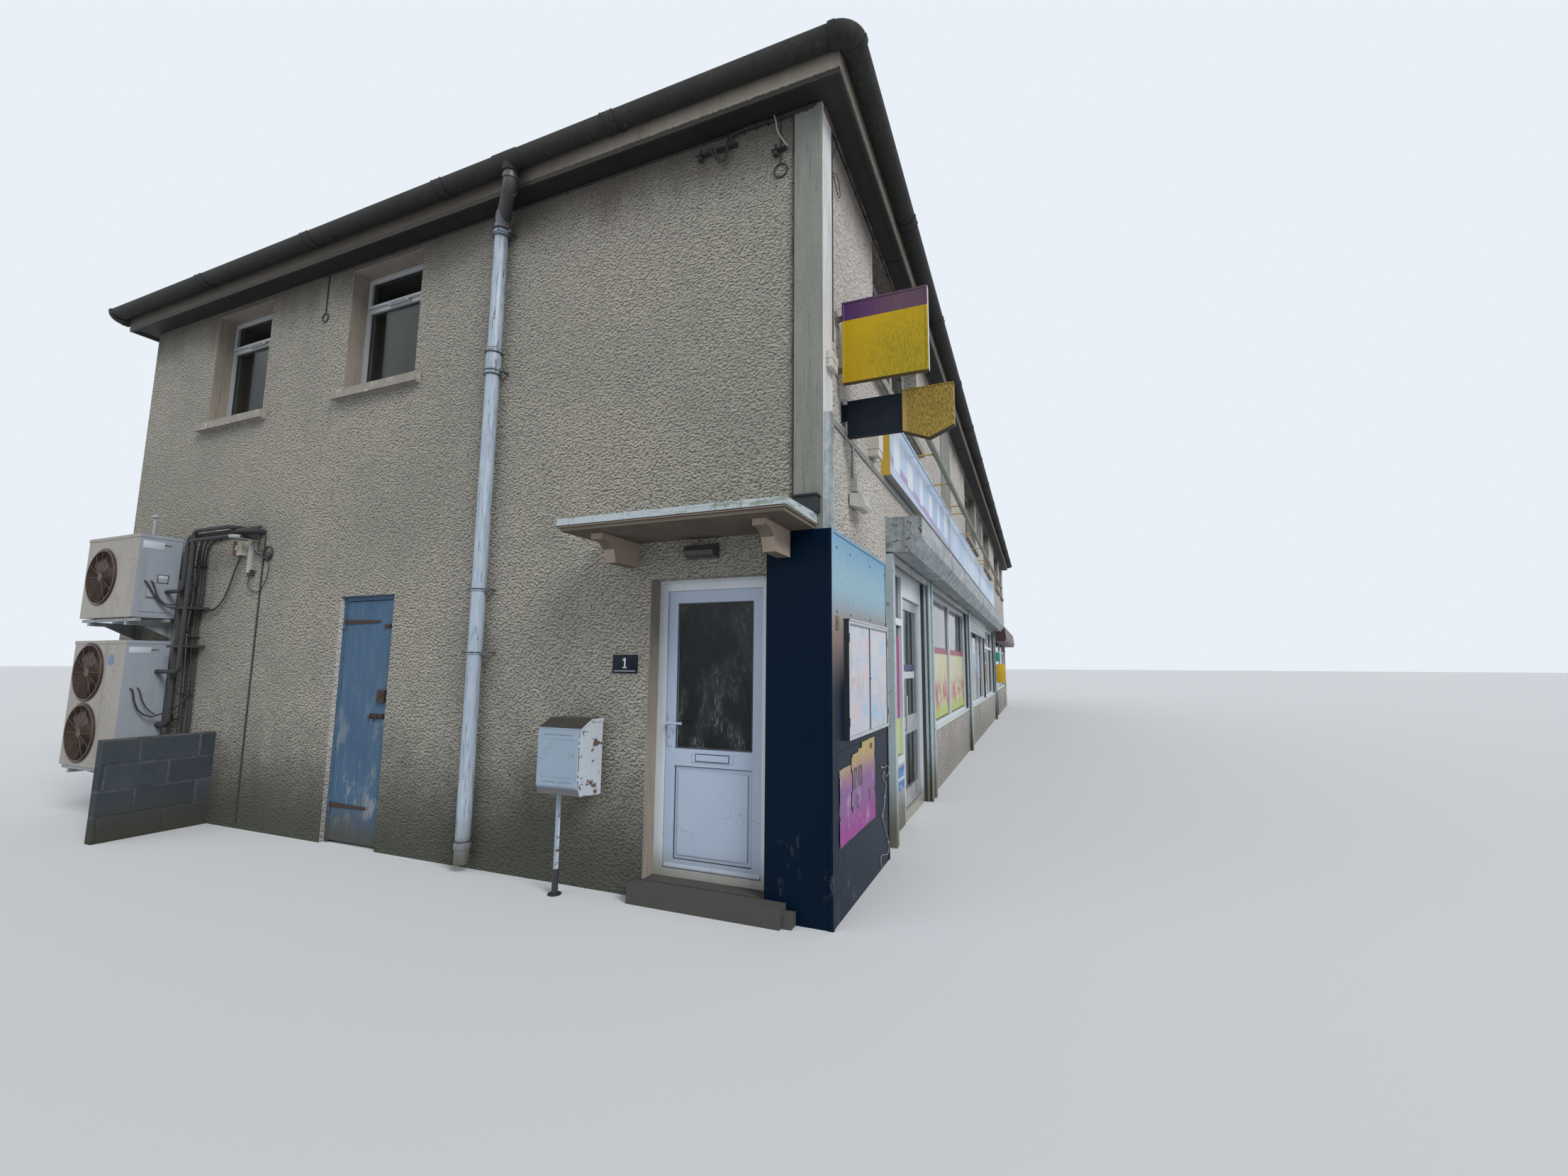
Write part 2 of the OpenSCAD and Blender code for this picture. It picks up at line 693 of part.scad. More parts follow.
door_face = 120;               // recess of the end doors' frames
flat_pivot = [door_face + flat_leaf_t + 16, flat_y + flat_frame - 10];
flat_hinges = [400, 1200, 1950];
module flat_door_frame() {
  y0 = flat_y + seat;
  y1 = flat_y + flat_w - seat;
  z1 = door_head_z - seat;
  x0 = door_face;
  x1 = door_face + flat_leaf_t + 9;
  rebate = 14;
  strip = 12;
  color("white") from_corner() {
    for (z = flat_hinges) translate([flat_pivot[0], flat_pivot[1], z]) knuckles(false, 35, 8);
    difference() {
      block([x0, y0, step_h], [x1, y1, z1]);
      block([x0 + 12, y0 + flat_frame - rebate, step_h + 40],
        [x1 + eps, y1 - flat_frame + rebate, z1 - flat_frame + rebate]);
      block([x0 - eps, y0 + flat_frame, step_h + 54],
        [x1, y1 - flat_frame, z1 - flat_frame]);
    }
    // moulding under the lintel and quadrant down the jamb
    block([x0 - strip, y0, z1 - 24], [x0 + eps, y1 - strip, z1]);
    block([x0 - strip, y0, step_h], [x0 + eps, y0 + strip, z1 - 24 + eps]);
  }
}
leaf_y0 = flat_y + flat_frame - 14 + leaf_gap;
leaf_y1 = flat_y + flat_w - flat_frame + 14 - leaf_gap;
leaf_z0 = step_h + 40 + leaf_gap;
leaf_z1 = door_head_z - flat_frame + 14 - leaf_gap;
leaf_x0 = door_face + 12 + 6;
leaf_x1 = door_face + 12 + flat_leaf_t - 6;
flat_stile = 85;
flat_bead = 12;
flat_glass_z = [1000, 2050];
flat_panel_z = [239, 881];
flat_lever_z = 1180;

module flat_door_leaf() {
  mid = (leaf_y0 + leaf_y1) / 2;
  color("white") from_corner() {
    difference() {
      block([leaf_x0, leaf_y0, leaf_z0], [leaf_x1, leaf_y1, leaf_z1]);
      // opening for the pane, stepped for its beads
      block([leaf_x0 - eps, leaf_y0 + flat_stile + flat_bead, flat_glass_z[0] + flat_bead],
        [leaf_x1 + eps, leaf_y1 - flat_stile - flat_bead, flat_glass_z[1] - flat_bead]);
      for (x = [leaf_x0 - eps, leaf_x1 - 8])
        block([x, leaf_y0 + flat_stile, flat_glass_z[0]],
          [x + 8 + eps, leaf_y1 - flat_stile, flat_glass_z[1]]);
      // sunk lower panel with a raised field, outside and inside
      for (x = [leaf_x0 - eps, leaf_x1 - 14]) difference() {
        block([x, leaf_y0 + flat_stile, flat_panel_z[0]],
          [x + 14 + eps, leaf_y1 - flat_stile, flat_panel_z[1]]);
        block([x + 5, leaf_y0 + flat_stile + 34, flat_panel_z[0] + 34],
          [x + 10 + eps, leaf_y1 - flat_stile - 34, flat_panel_z[1] - 34]);
      }
    }
    // fields of the panel, joined to its floor
    for (x = [leaf_x0 + 5, leaf_x1 - 14])
      block([x, leaf_y0 + flat_stile + 34, flat_panel_z[0] + 34],
        [x + 9, leaf_y1 - flat_stile - 34, flat_panel_z[1] - 34]);
    for (z = flat_hinges) translate([flat_pivot[0], flat_pivot[1], z]) knuckles(true, 40, 10.5);
    // weather bar at the foot
    along_y(leaf_y0 + 20, leaf_y1 - 20) polygon([[leaf_x0 + eps, 186], [leaf_x0 - 16, 186],
      [leaf_x0 - 16, 194], [leaf_x0 + eps, 212]]);
    // letter plate on the middle rail: its rim and the flap
    block([leaf_x0 - 6, mid - 160, 914], [leaf_x0 + eps, mid + 160, 976]);
    block([leaf_x0 - 10, mid - 128, 924], [leaf_x0 - 5, mid + 128, 966]);
    block([leaf_x1 - eps, mid - 160, 914], [leaf_x1 + 6, mid + 160, 976]);
    // handle plate with round ends, its lever and the cylinder lock, on both faces
    for (d = [-1, 1]) translate([d < 0 ? leaf_x0 : leaf_x1, leaf_y1 - 45, 0]) {
      plate = d < 0 ? -9 : -eps;
      translate([plate, 0, 0]) rotate([90, 0, 90]) linear_extrude(9 + eps) {
        translate([-17, 1030]) square([34, 212]);
        for (z = [1030, 1242]) translate([0, z]) circle(r = 17);
      }
      translate([0, 0, flat_lever_z]) rotate([0, 90 * d, 0]) cylinder(r = 11, h = 46);
      translate([d * 44, 8, flat_lever_z]) rotate([90, 0, 0]) cylinder(r = 8, h = 116);
      translate([d * 44, -100, flat_lever_z]) rotate([90, 0, 0]) cylinder(r = 9.5, h = 14);
      translate([0, 0, 1085]) rotate([0, 90 * d, 0]) cylinder(r = 9, h = 14);
    }
  }
}

module flat_door_glass() {
  xm = (leaf_x0 + leaf_x1) / 2;
  edge = flat_stile + flat_bead;
  color("slategray") from_corner()
    block([xm - 12, leaf_y0 + edge, flat_glass_z[0] + flat_bead],
      [xm + 12, leaf_y1 - edge, flat_glass_z[1] - flat_bead]);
}

// Canopy on two shaped corbels

module corbel_outline() {
  nose = canopy_out - 150;
  top = canopy_z;
  lip = 42;
  cove = nose - 34;      // middle of the hollow's arc
  difference() {
    polygon([[0, top], [-nose, top], [-nose, top - lip], [-cove, top - lip],
      [-cove, top - lip - cove_r - 0.5], [-cove + cove_r + 0.5, top - lip - cove_r - 0.5],
      [-cove + cove_r + 12, top - corbel_h], [0, top - corbel_h]]);
    translate([-cove, top - lip - cove_r - 0.5]) circle(r = cove_r);
  }
}
canopy_y0 = 30;
canopy_board = 22;
canopy_top = canopy_z + canopy_board + canopy_t + 18;

module door_canopy() {
  slab_z = canopy_z + canopy_board - eps;
  color("silver") from_corner() {
    // weathered slab on its timber edge boards
    along_y(canopy_y0, canopy_y0 + canopy_l)
      polygon([[-canopy_out, slab_z], [-panel_end_t, slab_z], [-panel_end_t, canopy_top],
        [-canopy_out, slab_z + canopy_t]]);
    block([-canopy_out + 22, canopy_y0 + 15, canopy_z],
      [-panel_end_t, canopy_y0 + canopy_l - 15, slab_z + eps]);
    block([-panel_end_t - eps, flat_y, canopy_z], [-seat, canopy_y0 + canopy_l, canopy_top]);
    for (y = [canopy_y0 + 190, canopy_y0 + canopy_l - 260])
      intersection() {
        along_y(y, y + corbel_w) corbel_outline();
        block([-canopy_out, y - eps, 0],
          [-seat - (y < flat_y ? panel_end_t : 0), y + corbel_w + eps, canopy_z + 10]);
      }
  }
}

// Store door

store_leaf_x = 40;               // the leaf's outer face behind the wall's face
store_hinges = [330, 1975];
store_pivot = [store_leaf_x - 7, store_y + store_w - store_bar - leaf_gap + 4];
module store_door_frame() {
  z1 = door_head_z - seat;
  stop = 20;
  deep = 90;
  plate = 5;
  color("steelblue") from_corner() {
    for (z = store_hinges) {
      translate([store_pivot[0], store_pivot[1], z]) rotate(180) knuckles(false, 28, 7.5);
      // upright plate of the tee hinge
      block([store_leaf_x - plate, store_pivot[1] + 9, z - 69],
        [store_leaf_x + eps, store_y + store_w - 8, z + 69]);
    }
    // staple that takes the bolt
    block([store_leaf_x - 16, store_y + 12, 1112], [store_leaf_x + eps, store_y + 32, 1148]);
    difference() {
      block([store_leaf_x, store_y + seat, 0], [store_leaf_x + deep, store_y + store_w - seat, z1]);
      block([store_leaf_x - eps, store_y + store_bar, -eps],
        [store_leaf_x + store_leaf_t + 8, store_y + store_w - store_bar, z1 - store_bar]);
      block([store_leaf_x - eps, store_y + store_bar + stop, -eps],
        [store_leaf_x + deep + eps, store_y + store_w - store_bar - stop, z1 - store_bar - stop]);
    }
  }
}
store_y0 = store_y + store_bar + leaf_gap;
store_y1 = store_y + store_w - store_bar - leaf_gap;
store_z1 = door_head_z - store_bar - leaf_gap;

// Six boards with V joints on three ledges
module store_door_leaf() {
  boards = 6;
  pitch = (store_y1 - store_y0) / boards;
  color("steelblue") from_corner() difference() {
    block([store_leaf_x, store_y0, 25], [store_leaf_x + store_leaf_t, store_y1, store_z1]);
    for (i = [1 : boards - 1]) translate([store_leaf_x, store_y0 + i * pitch, 0])
      linear_extrude(store_z1 + 10) circle(r = 5, $fn = 4);
  }
}

// Strap of a tee hinge, lying on the leaf's outer face
module strap(z) {
  translate([store_leaf_x - 6, store_y1 - 12, z]) rotate([90, 0, -90]) mirror([0, 0, 1])
    linear_extrude(6 - seat) {
      polygon([[0, -22], [440, -11], [440, 11], [0, 22]]);
      translate([440, 0]) circle(r = 15);
    }
  for (k = [60, 170, 290, 410]) translate([store_leaf_x - 5, store_y1 - 12 - k, z])
    rotate([0, -90, 0]) cylinder(r = 7, h = 5, $fn = 6);
}
module store_door_ironwork() {
  face = store_leaf_x;
  color("dimgray") from_corner() {
    for (z = store_hinges) {
      strap(z);
      translate([store_pivot[0], store_pivot[1], z]) rotate(180) knuckles(true, 40, 6.7);
    }
    // barrel bolt with its keeps, and its handle turned down
    block([face - 6, store_y0 + 12, 1108], [face - seat, store_y0 + 196, 1152]);
    translate([face - 12, store_y0 + 8, 1130]) rotate([-90, 0, 0]) cylinder(r = 8, h = 200);
    for (y = [24, 92, 168]) block([face - 22, store_y0 + y, 1112],
      [face - 5, store_y0 + y + 14, 1148]);
    translate([face - 12, store_y0 + 130, 1084]) cylinder(r = 5, h = 46);
    // rim lock with its keyhole boss, and the catch near the head
    block([face - 26, store_y0 + 8, 1250], [face - seat, store_y0 + 96, 1360]);
    translate([face - 25, store_y0 + 44, 1312]) rotate([0, -90, 0]) cylinder(r = 14, h = 7);
    block([face - 8, store_y0 + 8, 1912], [face - seat, store_y0 + 92, 1948]);
    block([face - 18, store_y0 + 20, 1918], [face - 7, store_y0 + 44, 1942]);
  }
}

// Shop front

shop_top = shop_head_z - seat;
frame_y0 = shop_y;
frame_y1 = shop_y + shop_depth;
// Rectangle of frame between x0 and x1 and z0 and z1, with mullions and transoms
module shop_screen(x0, x1, z0, z1, mullions, transom) {
  difference() {
    block([x0, frame_y0, z0], [x1, frame_y1, z1]);
    edges = concat([x0], mullions, [x1 - shop_bar]);
    for (i = [0 : len(edges) - 2]) {
      block([edges[i] + shop_bar, frame_y0 - eps, z0 + shop_bar],
        [edges[i + 1], frame_y1 + eps, transom > 0 ? transom : z1 - shop_bar]);
      if (transom > 0) block([edges[i] + shop_bar, frame_y0 - eps, transom + shop_bar],
        [edges[i + 1], frame_y1 + eps, z1 - shop_bar]);
    }
  }
}
// Glass that fills the lights of the same screen
module shop_lights(x0, x1, z0, z1, mullions, transom) {
  edges = concat([x0], mullions, [x1 - shop_bar]);
  ym = (frame_y0 + frame_y1) / 2;
  for (i = [0 : len(edges) - 2]) {
    block([edges[i] + shop_bar, ym - 6, z0 + shop_bar],
      [edges[i + 1], ym + 6, transom > 0 ? transom : z1 - shop_bar]);
    if (transom > 0) block([edges[i] + shop_bar, ym - 6, transom + shop_bar],
      [edges[i + 1], ym + 6, z1 - shop_bar]);
  }
}
side_z0 = 620;
side_transom = 2010;
bay_screens = [
  [bay1_x + seat, door_x, side_z0 + seat, shop_top, [], side_transom],
  [bay2_x + seat, bay2_x + bay2_w - seat, riser_h + seat, shop_top,
    [bay2_x + bay2_w / 2], 0],
  [bay3_x + seat, bay3_x + bay3_w - seat, riser_h + seat, shop_top,
    [bay3_x + bay3_w / 3, bay3_x + bay3_w * 2 / 3], 0],
  [bay4_x + seat, bay4_x + bay4_w - seat, riser_h + seat, shop_top,
    [bay4_x + bay4_w / 2], 2050],
  [far_x + 1300 + seat, block_l - wall_t - seat, riser_h + seat, shop_top,
    [far_x + 1300 + (far_w - 1300) / 2], 2050],
  [far_x + seat, far_x + 1300 - seat, 0, shop_top, [], 2050]];

door_head = 2330;              // head of the shop's doorway
module shop_front_frames() {
  color("gainsboro") from_corner() {
    for (s = bay_screens) shop_screen(s[0], s[1], s[2], s[3], s[4], s[5]);
    // head, jambs and threshold of the doorway
    block([door_x + seat, frame_y0, door_head], [post2_x - seat, frame_y1, shop_top]);
    block([door_x + door_w + shop_bar, frame_y0, 0], [post2_x - seat, frame_y1, door_head - seat]);
    block([door_x - shop_bar, frame_y0, 0], [door_x, frame_y1, side_z0]);
    block([door_x + seat, frame_y0, 0],
      [door_x + door_w + shop_bar - seat, wall_t - seat, ground_floor_t]);
    for (z = shop_hinges) translate([shop_pivot[0], shop_pivot[1], z]) rotate(90)
      knuckles(false, 35, 8);
    // dark sills under the shop windows
    for (b = [[bay2_x, bay2_w], [bay3_x, bay3_w], [bay4_x, bay4_w - guide_w]])
      block([b[0] + seat, -25, riser_h + seat], [b[0] + b[1] - seat, frame_y0 + eps, riser_h + 30]);
  }
}

module shop_front_glass() {
  color("lightblue") from_corner()
    for (s = bay_screens) shop_lights(s[0], s[1], s[2], s[3], s[4], s[5]);
}

shop_leaf_x0 = door_x + leaf_gap;
shop_leaf_x1 = door_x + door_w + shop_bar - leaf_gap;
shop_leaf_z = [ground_floor_t + 12, door_head - leaf_gap];
shop_leaf_y = [frame_y0 + 32, frame_y0 + 76];
shop_pivot = [shop_leaf_x1 + 4, frame_y1 + 7.5];
shop_hinges = [250, 1150, 2100];
shop_rail = 110;
shop_mid = [860, 1050];
module shop_door_leaf() {
  color("silver") from_corner() {
    difference() {
      block([shop_leaf_x0, shop_leaf_y[0], shop_leaf_z[0]],
        [shop_leaf_x1, shop_leaf_y[1], shop_leaf_z[1]]);
      block([shop_leaf_x0 + shop_rail, shop_leaf_y[0] - eps, shop_leaf_z[0] + 180],
        [shop_leaf_x1 - shop_rail, shop_leaf_y[1] + eps, shop_mid[0]]);
      block([shop_leaf_x0 + shop_rail, shop_leaf_y[0] - eps, shop_mid[1]],
        [shop_leaf_x1 - shop_rail, shop_leaf_y[1] + eps, shop_leaf_z[1] - shop_rail]);
    }
    for (z = shop_hinges) translate([shop_pivot[0], shop_pivot[1], z]) rotate(90)
      knuckles(true, 45, 12);
    // pull handle
    translate([shop_leaf_x0 + shop_rail / 2, shop_leaf_y[0] - 45, 900]) {
      cylinder(r = 12, h = 380);
      for (z = [30, 350]) translate([0, 46, z]) rotate([90, 0, 0]) cylinder(r = 9, h = 46);
    }
  }
}

module shop_door_glass() {
  ym = (shop_leaf_y[0] + shop_leaf_y[1]) / 2;
  color("lightblue") from_corner() {
    block([shop_leaf_x0 + shop_rail, ym - 5, shop_leaf_z[0] + 180],
      [shop_leaf_x1 - shop_rail, ym + 5, shop_mid[0]]);
    block([shop_leaf_x0 + shop_rail, ym - 5, shop_mid[1]],
      [shop_leaf_x1 - shop_rail, ym + 5, shop_leaf_z[1] - shop_rail]);
  }
}

// Roller shutters

shutter_z = shop_head_z + 30;
// Folded sheet housing with its lower outer corner cut back
module shutter_outline(grow) {
  top = shutter_z + shutter_h + grow;
  polygon([[-seat, shutter_z + 28 - grow], [-seat, top], [-shutter_d - grow, top],
    [-shutter_d - grow, shutter_z + 136 - grow / 2],
    [-shutter_d * 0.71 - grow / 2, shutter_z + 11 - grow]]);
}
shutter_joints = [shop_x, post2_x + post_w / 2, post3_x + guide_w, unit_end_x - 50];
module shutter_boxes() {
  bay_seam = 1450;
  color("silver") from_corner() for (i = [0 : 2]) {
    x0 = shutter_joints[i] + (i > 0 ? 6 : 0);
    x1 = shutter_joints[i + 1] - 6;
    along_x(x0, x1) shutter_outline(0);
    // flanged end plates and the straps over the sheets' seams
    for (x = [x0, x1 - 4]) along_x(x, x + 4) shutter_outline(5);
    for (x = [x0 + bay_seam : bay_seam : x1 - 400]) along_x(x, x + 24) shutter_outline(1.5);
    // top flange against the wall
    block([x0, -24, shutter_z + shutter_h - eps], [x1, -seat, shutter_z + shutter_h + 16]);
  }
}

guide_posts = [[shop_x, guide_w], [post2_x, guide_w], [post2_x + post_w - guide_w, guide_w],
  [post3_x, guide_w], [post3_x + guide_w, guide_w], [unit_end_x - guide_w, guide_w]];
// Channels that hold the curtains' edges
module shutter_guides() {
  slot = 24;
  color("gainsboro") from_corner()
    for (i = [0 : len(guide_posts) - 1]) {
      g = guide_posts[i];
      open_left = i == 2 || i == 4 ? false : i == 1 || i == 3 || i == 5;
      difference() {
        block([g[0] + 1, -guide_out, 0], [g[0] + g[1] - 1, -seat, shutter_z + 5]);
        block([open_left ? g[0] - eps : g[0] + g[1] - 45, -guide_out + 15 - seat, -eps],
          [open_left ? g[0] + 45 : g[0] + g[1] + eps, -guide_out + 15 + slot, shutter_z + 9]);
      }
    }
}

// Curtain of curved interlocking laths, hanging from the box
module lath_outline(n) {
  for (i = [0 : n - 1]) translate([-guide_out + 26, shutter_z + 18 - (i + 1) * lath_h]) {
    intersection() {
      translate([14, lath_h / 2]) circle(r = lath_h * 0.52, $fn = 40);
      translate([-11, 0]) square([20, lath_h + eps]);
    }
    translate([-3, -1]) square([8, lath_h + 2]);
  }
}
module shutter_curtains() {
  laths_3 = round(curtain_drop / lath_h);
  color("silver") from_corner() {
    along_x(bay2_x + 8 - 36, bay2_x + bay2_w + 28) lath_outline(1);
    along_x(bay3_x - 8, bay3_x + bay3_w * 0.97) lath_outline(laths_3);
    along_x(shop_x + guide_w - 36, post2_x + 36) lath_outline(1);
  }
}

// Signs

sign_x0 = 1720;
sign_x1 = unit_end_x + 150;
sign_parts = [sign_x0, 5960, 11290, sign_x1];
module fascia_sign() {
  rim = 28;
  sunk = 7;
  color("lightsteelblue") from_corner() {
    difference() {
      block([sign_x0, -sign_d, sign_z], [sign_x1, -seat, sign_z + sign_h]);
      for (i = [0 : 2]) block([sign_parts[i] + rim, -sign_d - eps, sign_z + rim],
        [sign_parts[i + 1] - (i == 2 ? rim : rim / 2), -sign_d + sunk, sign_z + sign_h - rim]);
    }
    // drip rail along the foot
    block([sign_x0, -sign_d - 10, sign_z], [sign_x1, -sign_d + eps, sign_z + 14]);
  }
}

// Three lengths of tube light on arms from the top of the sign
module sign_lights() {
  y_light = -sign_d - light_out;
  arm = 10;
  z_light = sign_z + sign_h + arm + seat;
  color("darkolivegreen") from_corner() for (i = [0 : 2]) {
    x0 = sign_parts[i] + 20;
    length = sign_parts[i + 1] - x0 - 20;
    // tube with its end caps and a reflector strip along its back
    translate([x0, y_light, z_light]) rotate([0, 90, 0]) cylinder(r = light_r, h = length);
    for (e = [-6, length - 44]) translate([x0 + e, y_light, z_light]) rotate([0, 90, 0])
      cylinder(r = light_r + 5, h = 50);
    block([x0 + 30, y_light - 10, z_light + light_r - 6],
      [x0 + length - 30, y_light + 10, z_light + light_r + 5]);
    for (k = [0.045, 0.35, 0.65, 0.945]) translate([x0 + length * k, y_light, z_light])
      rotate([-90, 0, 0]) {
        cylinder(r = arm, h = light_out + sign_d - seat);
        // clip ring round the tube
        rotate([0, 90, 0]) cylinder(r = light_r + 3.5, h = 26, center = true);
      }
  }
}

flag_x = 310;
flag_z = 3625;
// Light box that stands out from the wall on two short brackets
module square_sign() {
  y0 = -50;
  rim = 14;
  color("gold") from_corner() {
    difference() {
      block([flag_x, y0 - flag_s, flag_z], [flag_x + flag_t, y0, flag_z + flag_s]);
      for (x = [flag_x - eps, flag_x + flag_t - 4])
        block([x, y0 - flag_s + rim, flag_z + rim],
          [x + 4 + eps, y0 - rim, flag_z + flag_s - rim]);
    }
    // two brackets with their wall plates
    for (z = [flag_z + 90, flag_z + flag_s - 130]) {
      block([flag_x + flag_t / 2 - 9, y0 - eps, z], [flag_x + flag_t / 2 + 9, -seat, z + 40]);
      block([flag_x - 15, -8, z - 25], [flag_x + flag_t + 15, -seat, z + 65]);
    }
  }
}

// Bracket panel with a five-sided badge at its end
module badge_sign() {
  x0 = 460;
  thick = 50;
  color("darkgoldenrod") from_corner() {
    // bracket panel with a sunk field on each face
    difference() {
      along_x(x0, x0 + thick) polygon([[-43, 3270], [-43, 3550], [-454, 3550], [-454, 3270]]);
      for (x = [x0 - eps, x0 + thick - 3])
        block([x, -436, 3288], [x + 3 + eps, -61, 3532]);
    }
    along_x(x0 - 12, x0 + thick + 12)
      polygon([[-453, 3560], [-453, 3262], [-638, 3190], [-812, 3262], [-812, 3560]]);
    along_x(x0 - 15, x0 + thick + 15)
      polygon([[-449, 3560], [-449, 3568], [-816, 3568], [-816, 3560]]);
    block([x0 + 10, -44, 3410], [x0 + 40, -seat, 3530]);
    block([x0 - 20, -8, 3390], [x0 + thick + 20, -seat, 3550]);
  }
}

// Glazed notice case in two leaves
module notice_board() {
  x0 = 250;
  x1 = 1410;
  z0 = 1100;
  z1 = 1905;
  face = -panel_t - 38;
  bar = 22;
  mid = (x0 + x1) / 2;
  color("silver") from_corner() {
    difference() {
      block([x0, face, z0], [x1, -panel_t - seat, z1]);
      for (p = [[x0 + bar, mid - bar / 2], [mid + bar / 2, x1 - bar]])
        block([p[0], face - eps, z0 + bar], [p[1], face + 8, z1 - bar]);
    }
    // cap over the case, a lock at each leaf's free edge, barrels of the hinges
    block([x0 - 6, face - 8, z1 - eps], [x1 + 6, -panel_t - seat, z1 + 9]);
    for (x = [mid - 8, mid + 8]) translate([x, face + 1, 1500]) rotate([90, 0, 0])
      cylinder(r = 6, h = 6);
    for (x = [x0 + 5, x1 - 5], z = [z0 + 90, z1 - 150]) translate([x, face, z])
      cylinder(r = 5, h = 60);
  }
}

// Corner cladding and trims

module corner_panel() {
  joint = 3;
  trim = 5;
  color([0.06, 0.07, 0.1]) from_corner() {
    difference() {
      block([-panel_end_t, -panel_t, 0], [panel_l, flat_y - 10, panel_h]);
      block([-seat, -seat, -eps], [panel_l + eps, block_d, panel_h + eps]);
      // joint between the upper and the lower sheet on the street front
      block([60, -panel_t - eps, 1040], [panel_l + eps, -panel_t + joint, 1040 + joint]);
    }
    // edge trims: along the head and down the free edge of the street front, on the corner
    block([-panel_end_t - trim, -panel_t - trim, panel_h - 22],
      [panel_l, -panel_t + eps, panel_h - eps]);
    block([panel_l - 24, -panel_t - trim, 0], [panel_l, -panel_t + eps, panel_h - eps]);
    block([-panel_end_t - trim, -panel_t - trim, 0], [14, -panel_t + eps, panel_h - eps]);
    block([-panel_end_t - trim, -panel_t - trim, 0],
      [-panel_end_t + eps, -panel_t + 30, panel_h - eps]);
  }
}

// Galvanised angle above the cladding and the boxed cap beside it
module corner_trim() {
  top = 3290;
  color("lightslategray") from_corner() {
    difference() {
      block([-4, -panel_t, panel_h + seat], [60, -12 - seat, top]);
      block([0, -panel_t + 4, panel_h], [61, -11, top + eps]);
    }
    for (z = [2560, 2900, top - 60]) translate([30, -panel_t + eps, z]) rotate([90, 0, 0])
      cylinder(r = 5, h = 4);
    // dark boxed cap over the canopy's end, with its lid
    block([-95, 10, canopy_top + seat], [-panel_end_t - seat, 170, canopy_top + 110]);
    block([-104, 2, canopy_top + 109], [-panel_end_t - seat, 178, canopy_top + 122]);
  }
}

// Bulkhead light over the flat's door, floodlight and alarm box on the street front
module outside_lights() {
  lamp_y = flat_y + flat_w / 2 - 100;
  lamp_z = canopy_z - 150;
  alarm = [1230, 3380];
  joint_box = [700, 2930];
  color("whitesmoke") from_corner() {
    // bulkhead light over the flat's door
    block([-30, lamp_y, lamp_z], [-seat, lamp_y + 250, lamp_z + 100]);
    along_y(lamp_y + 10, lamp_y + 240) polygon([[-29, lamp_z + 8], [-80, lamp_z + 20],
      [-92, lamp_z + 50], [-80, lamp_z + 80], [-29, lamp_z + 92]]);
    // alarm box with its dark lamp below
    block([alarm[0], -92, alarm[1]], [alarm[0] + 150, -seat, alarm[1] + 240]);
    block([alarm[0] - 4, -98, alarm[1] + 60], [alarm[0] + 154, -seat, alarm[1] + 226]);
    translate([alarm[0] + 75, -50, alarm[1] - 34]) cylinder(r = 28, h = 35);
    // junction box, the floodlight on its knuckle and its sensor
    block([joint_box[0], -46, joint_box[1]], [joint_box[0] + 140, -seat, joint_box[1] + 100]);
    translate([joint_box[0] + 60, -30, joint_box[1] - 40]) cylinder(r = 12, h = 41);
    along_x(joint_box[0] - 90, joint_box[0] + 110)
      polygon([[-12, 2895], [-110, 2880], [-136, 2790], [-118, 2768], [-12, 2800]]);
    translate([joint_box[0] + 109, -66, 2815]) rotate([0, 90, 0]) cylinder(r = 14, h = 20);
    translate([joint_box[0] + 150, -66, 2812]) sphere(r = 34);
    // small box on the white band
    block([50, -54, 3640], [190, -12 - seat, 3755]);
    block([46, -58, 3700], [194, -12 - seat, 3748]);
  }
}

// Letter box on its post

box_y = 1655;
box_back = 60;         // the box stands off the wall
box_x = -box_back - box_d;
box_wall = 3;
box_pin = 4;
box_pivot = [box_x - 14, box_y + 4];
box_hinges = [box_z + 90, box_z + box_h - 90];
module letter_box() {
  top = box_z + box_h;
  color("white") from_corner() {
    difference() {
      // sheet body with its foot bevelled and its top rising to the back
      along_y(box_y, box_y + box_w) polygon([[box_x, box_z], [box_x, top], [box_x + 2, top + 4],
        [box_x + 110, top + 58], [-box_back, top + 58], [-box_back, box_z - 65],
        [box_x + 17, box_z - 45]]);
      block([box_x - eps, box_y + 25, box_z + 25],
        [-box_back - box_wall, box_y + box_w - 25, top - 25]);
    }
    // hood with its turned-down edges
    along_y(box_y - 6, box_y + box_w + 6) polygon([[box_x, top - 2], [box_x, top + 5],
      [box_x + 109, top + 64], [-box_back, top + 64], [-box_back, top + 40],
      [box_x + 118, top + 40]]);
    // outer knuckles of the door's hinges
    for (z = box_hinges, s = [-1, 1]) translate([box_pivot[0], box_pivot[1], z + s * 20.4]) {
      cylinder(r = box_pin, h = 20, center = true, $fn = 24);
      translate([0, -box_pin, -10]) cube([15, box_pin, 20]);
    }
    // post under the box with its foot sleeve, and the fixings to the wall
    translate([box_x + 120, box_y + box_w - 97, 0]) {
      cylinder(r = box_post_r, h = box_z);
      cylinder(r = box_post_r + 5, h = 172);
      cylinder(r = box_post_r + 30, h = 8);
    }
    for (z = [box_z + 60, top - 30], y = [70, box_w - 70])
      translate([-box_back - eps, box_y + y, z]) rotate([0, 90, 0])
        cylinder(r = 14, h = box_back + eps - seat);
  }
}
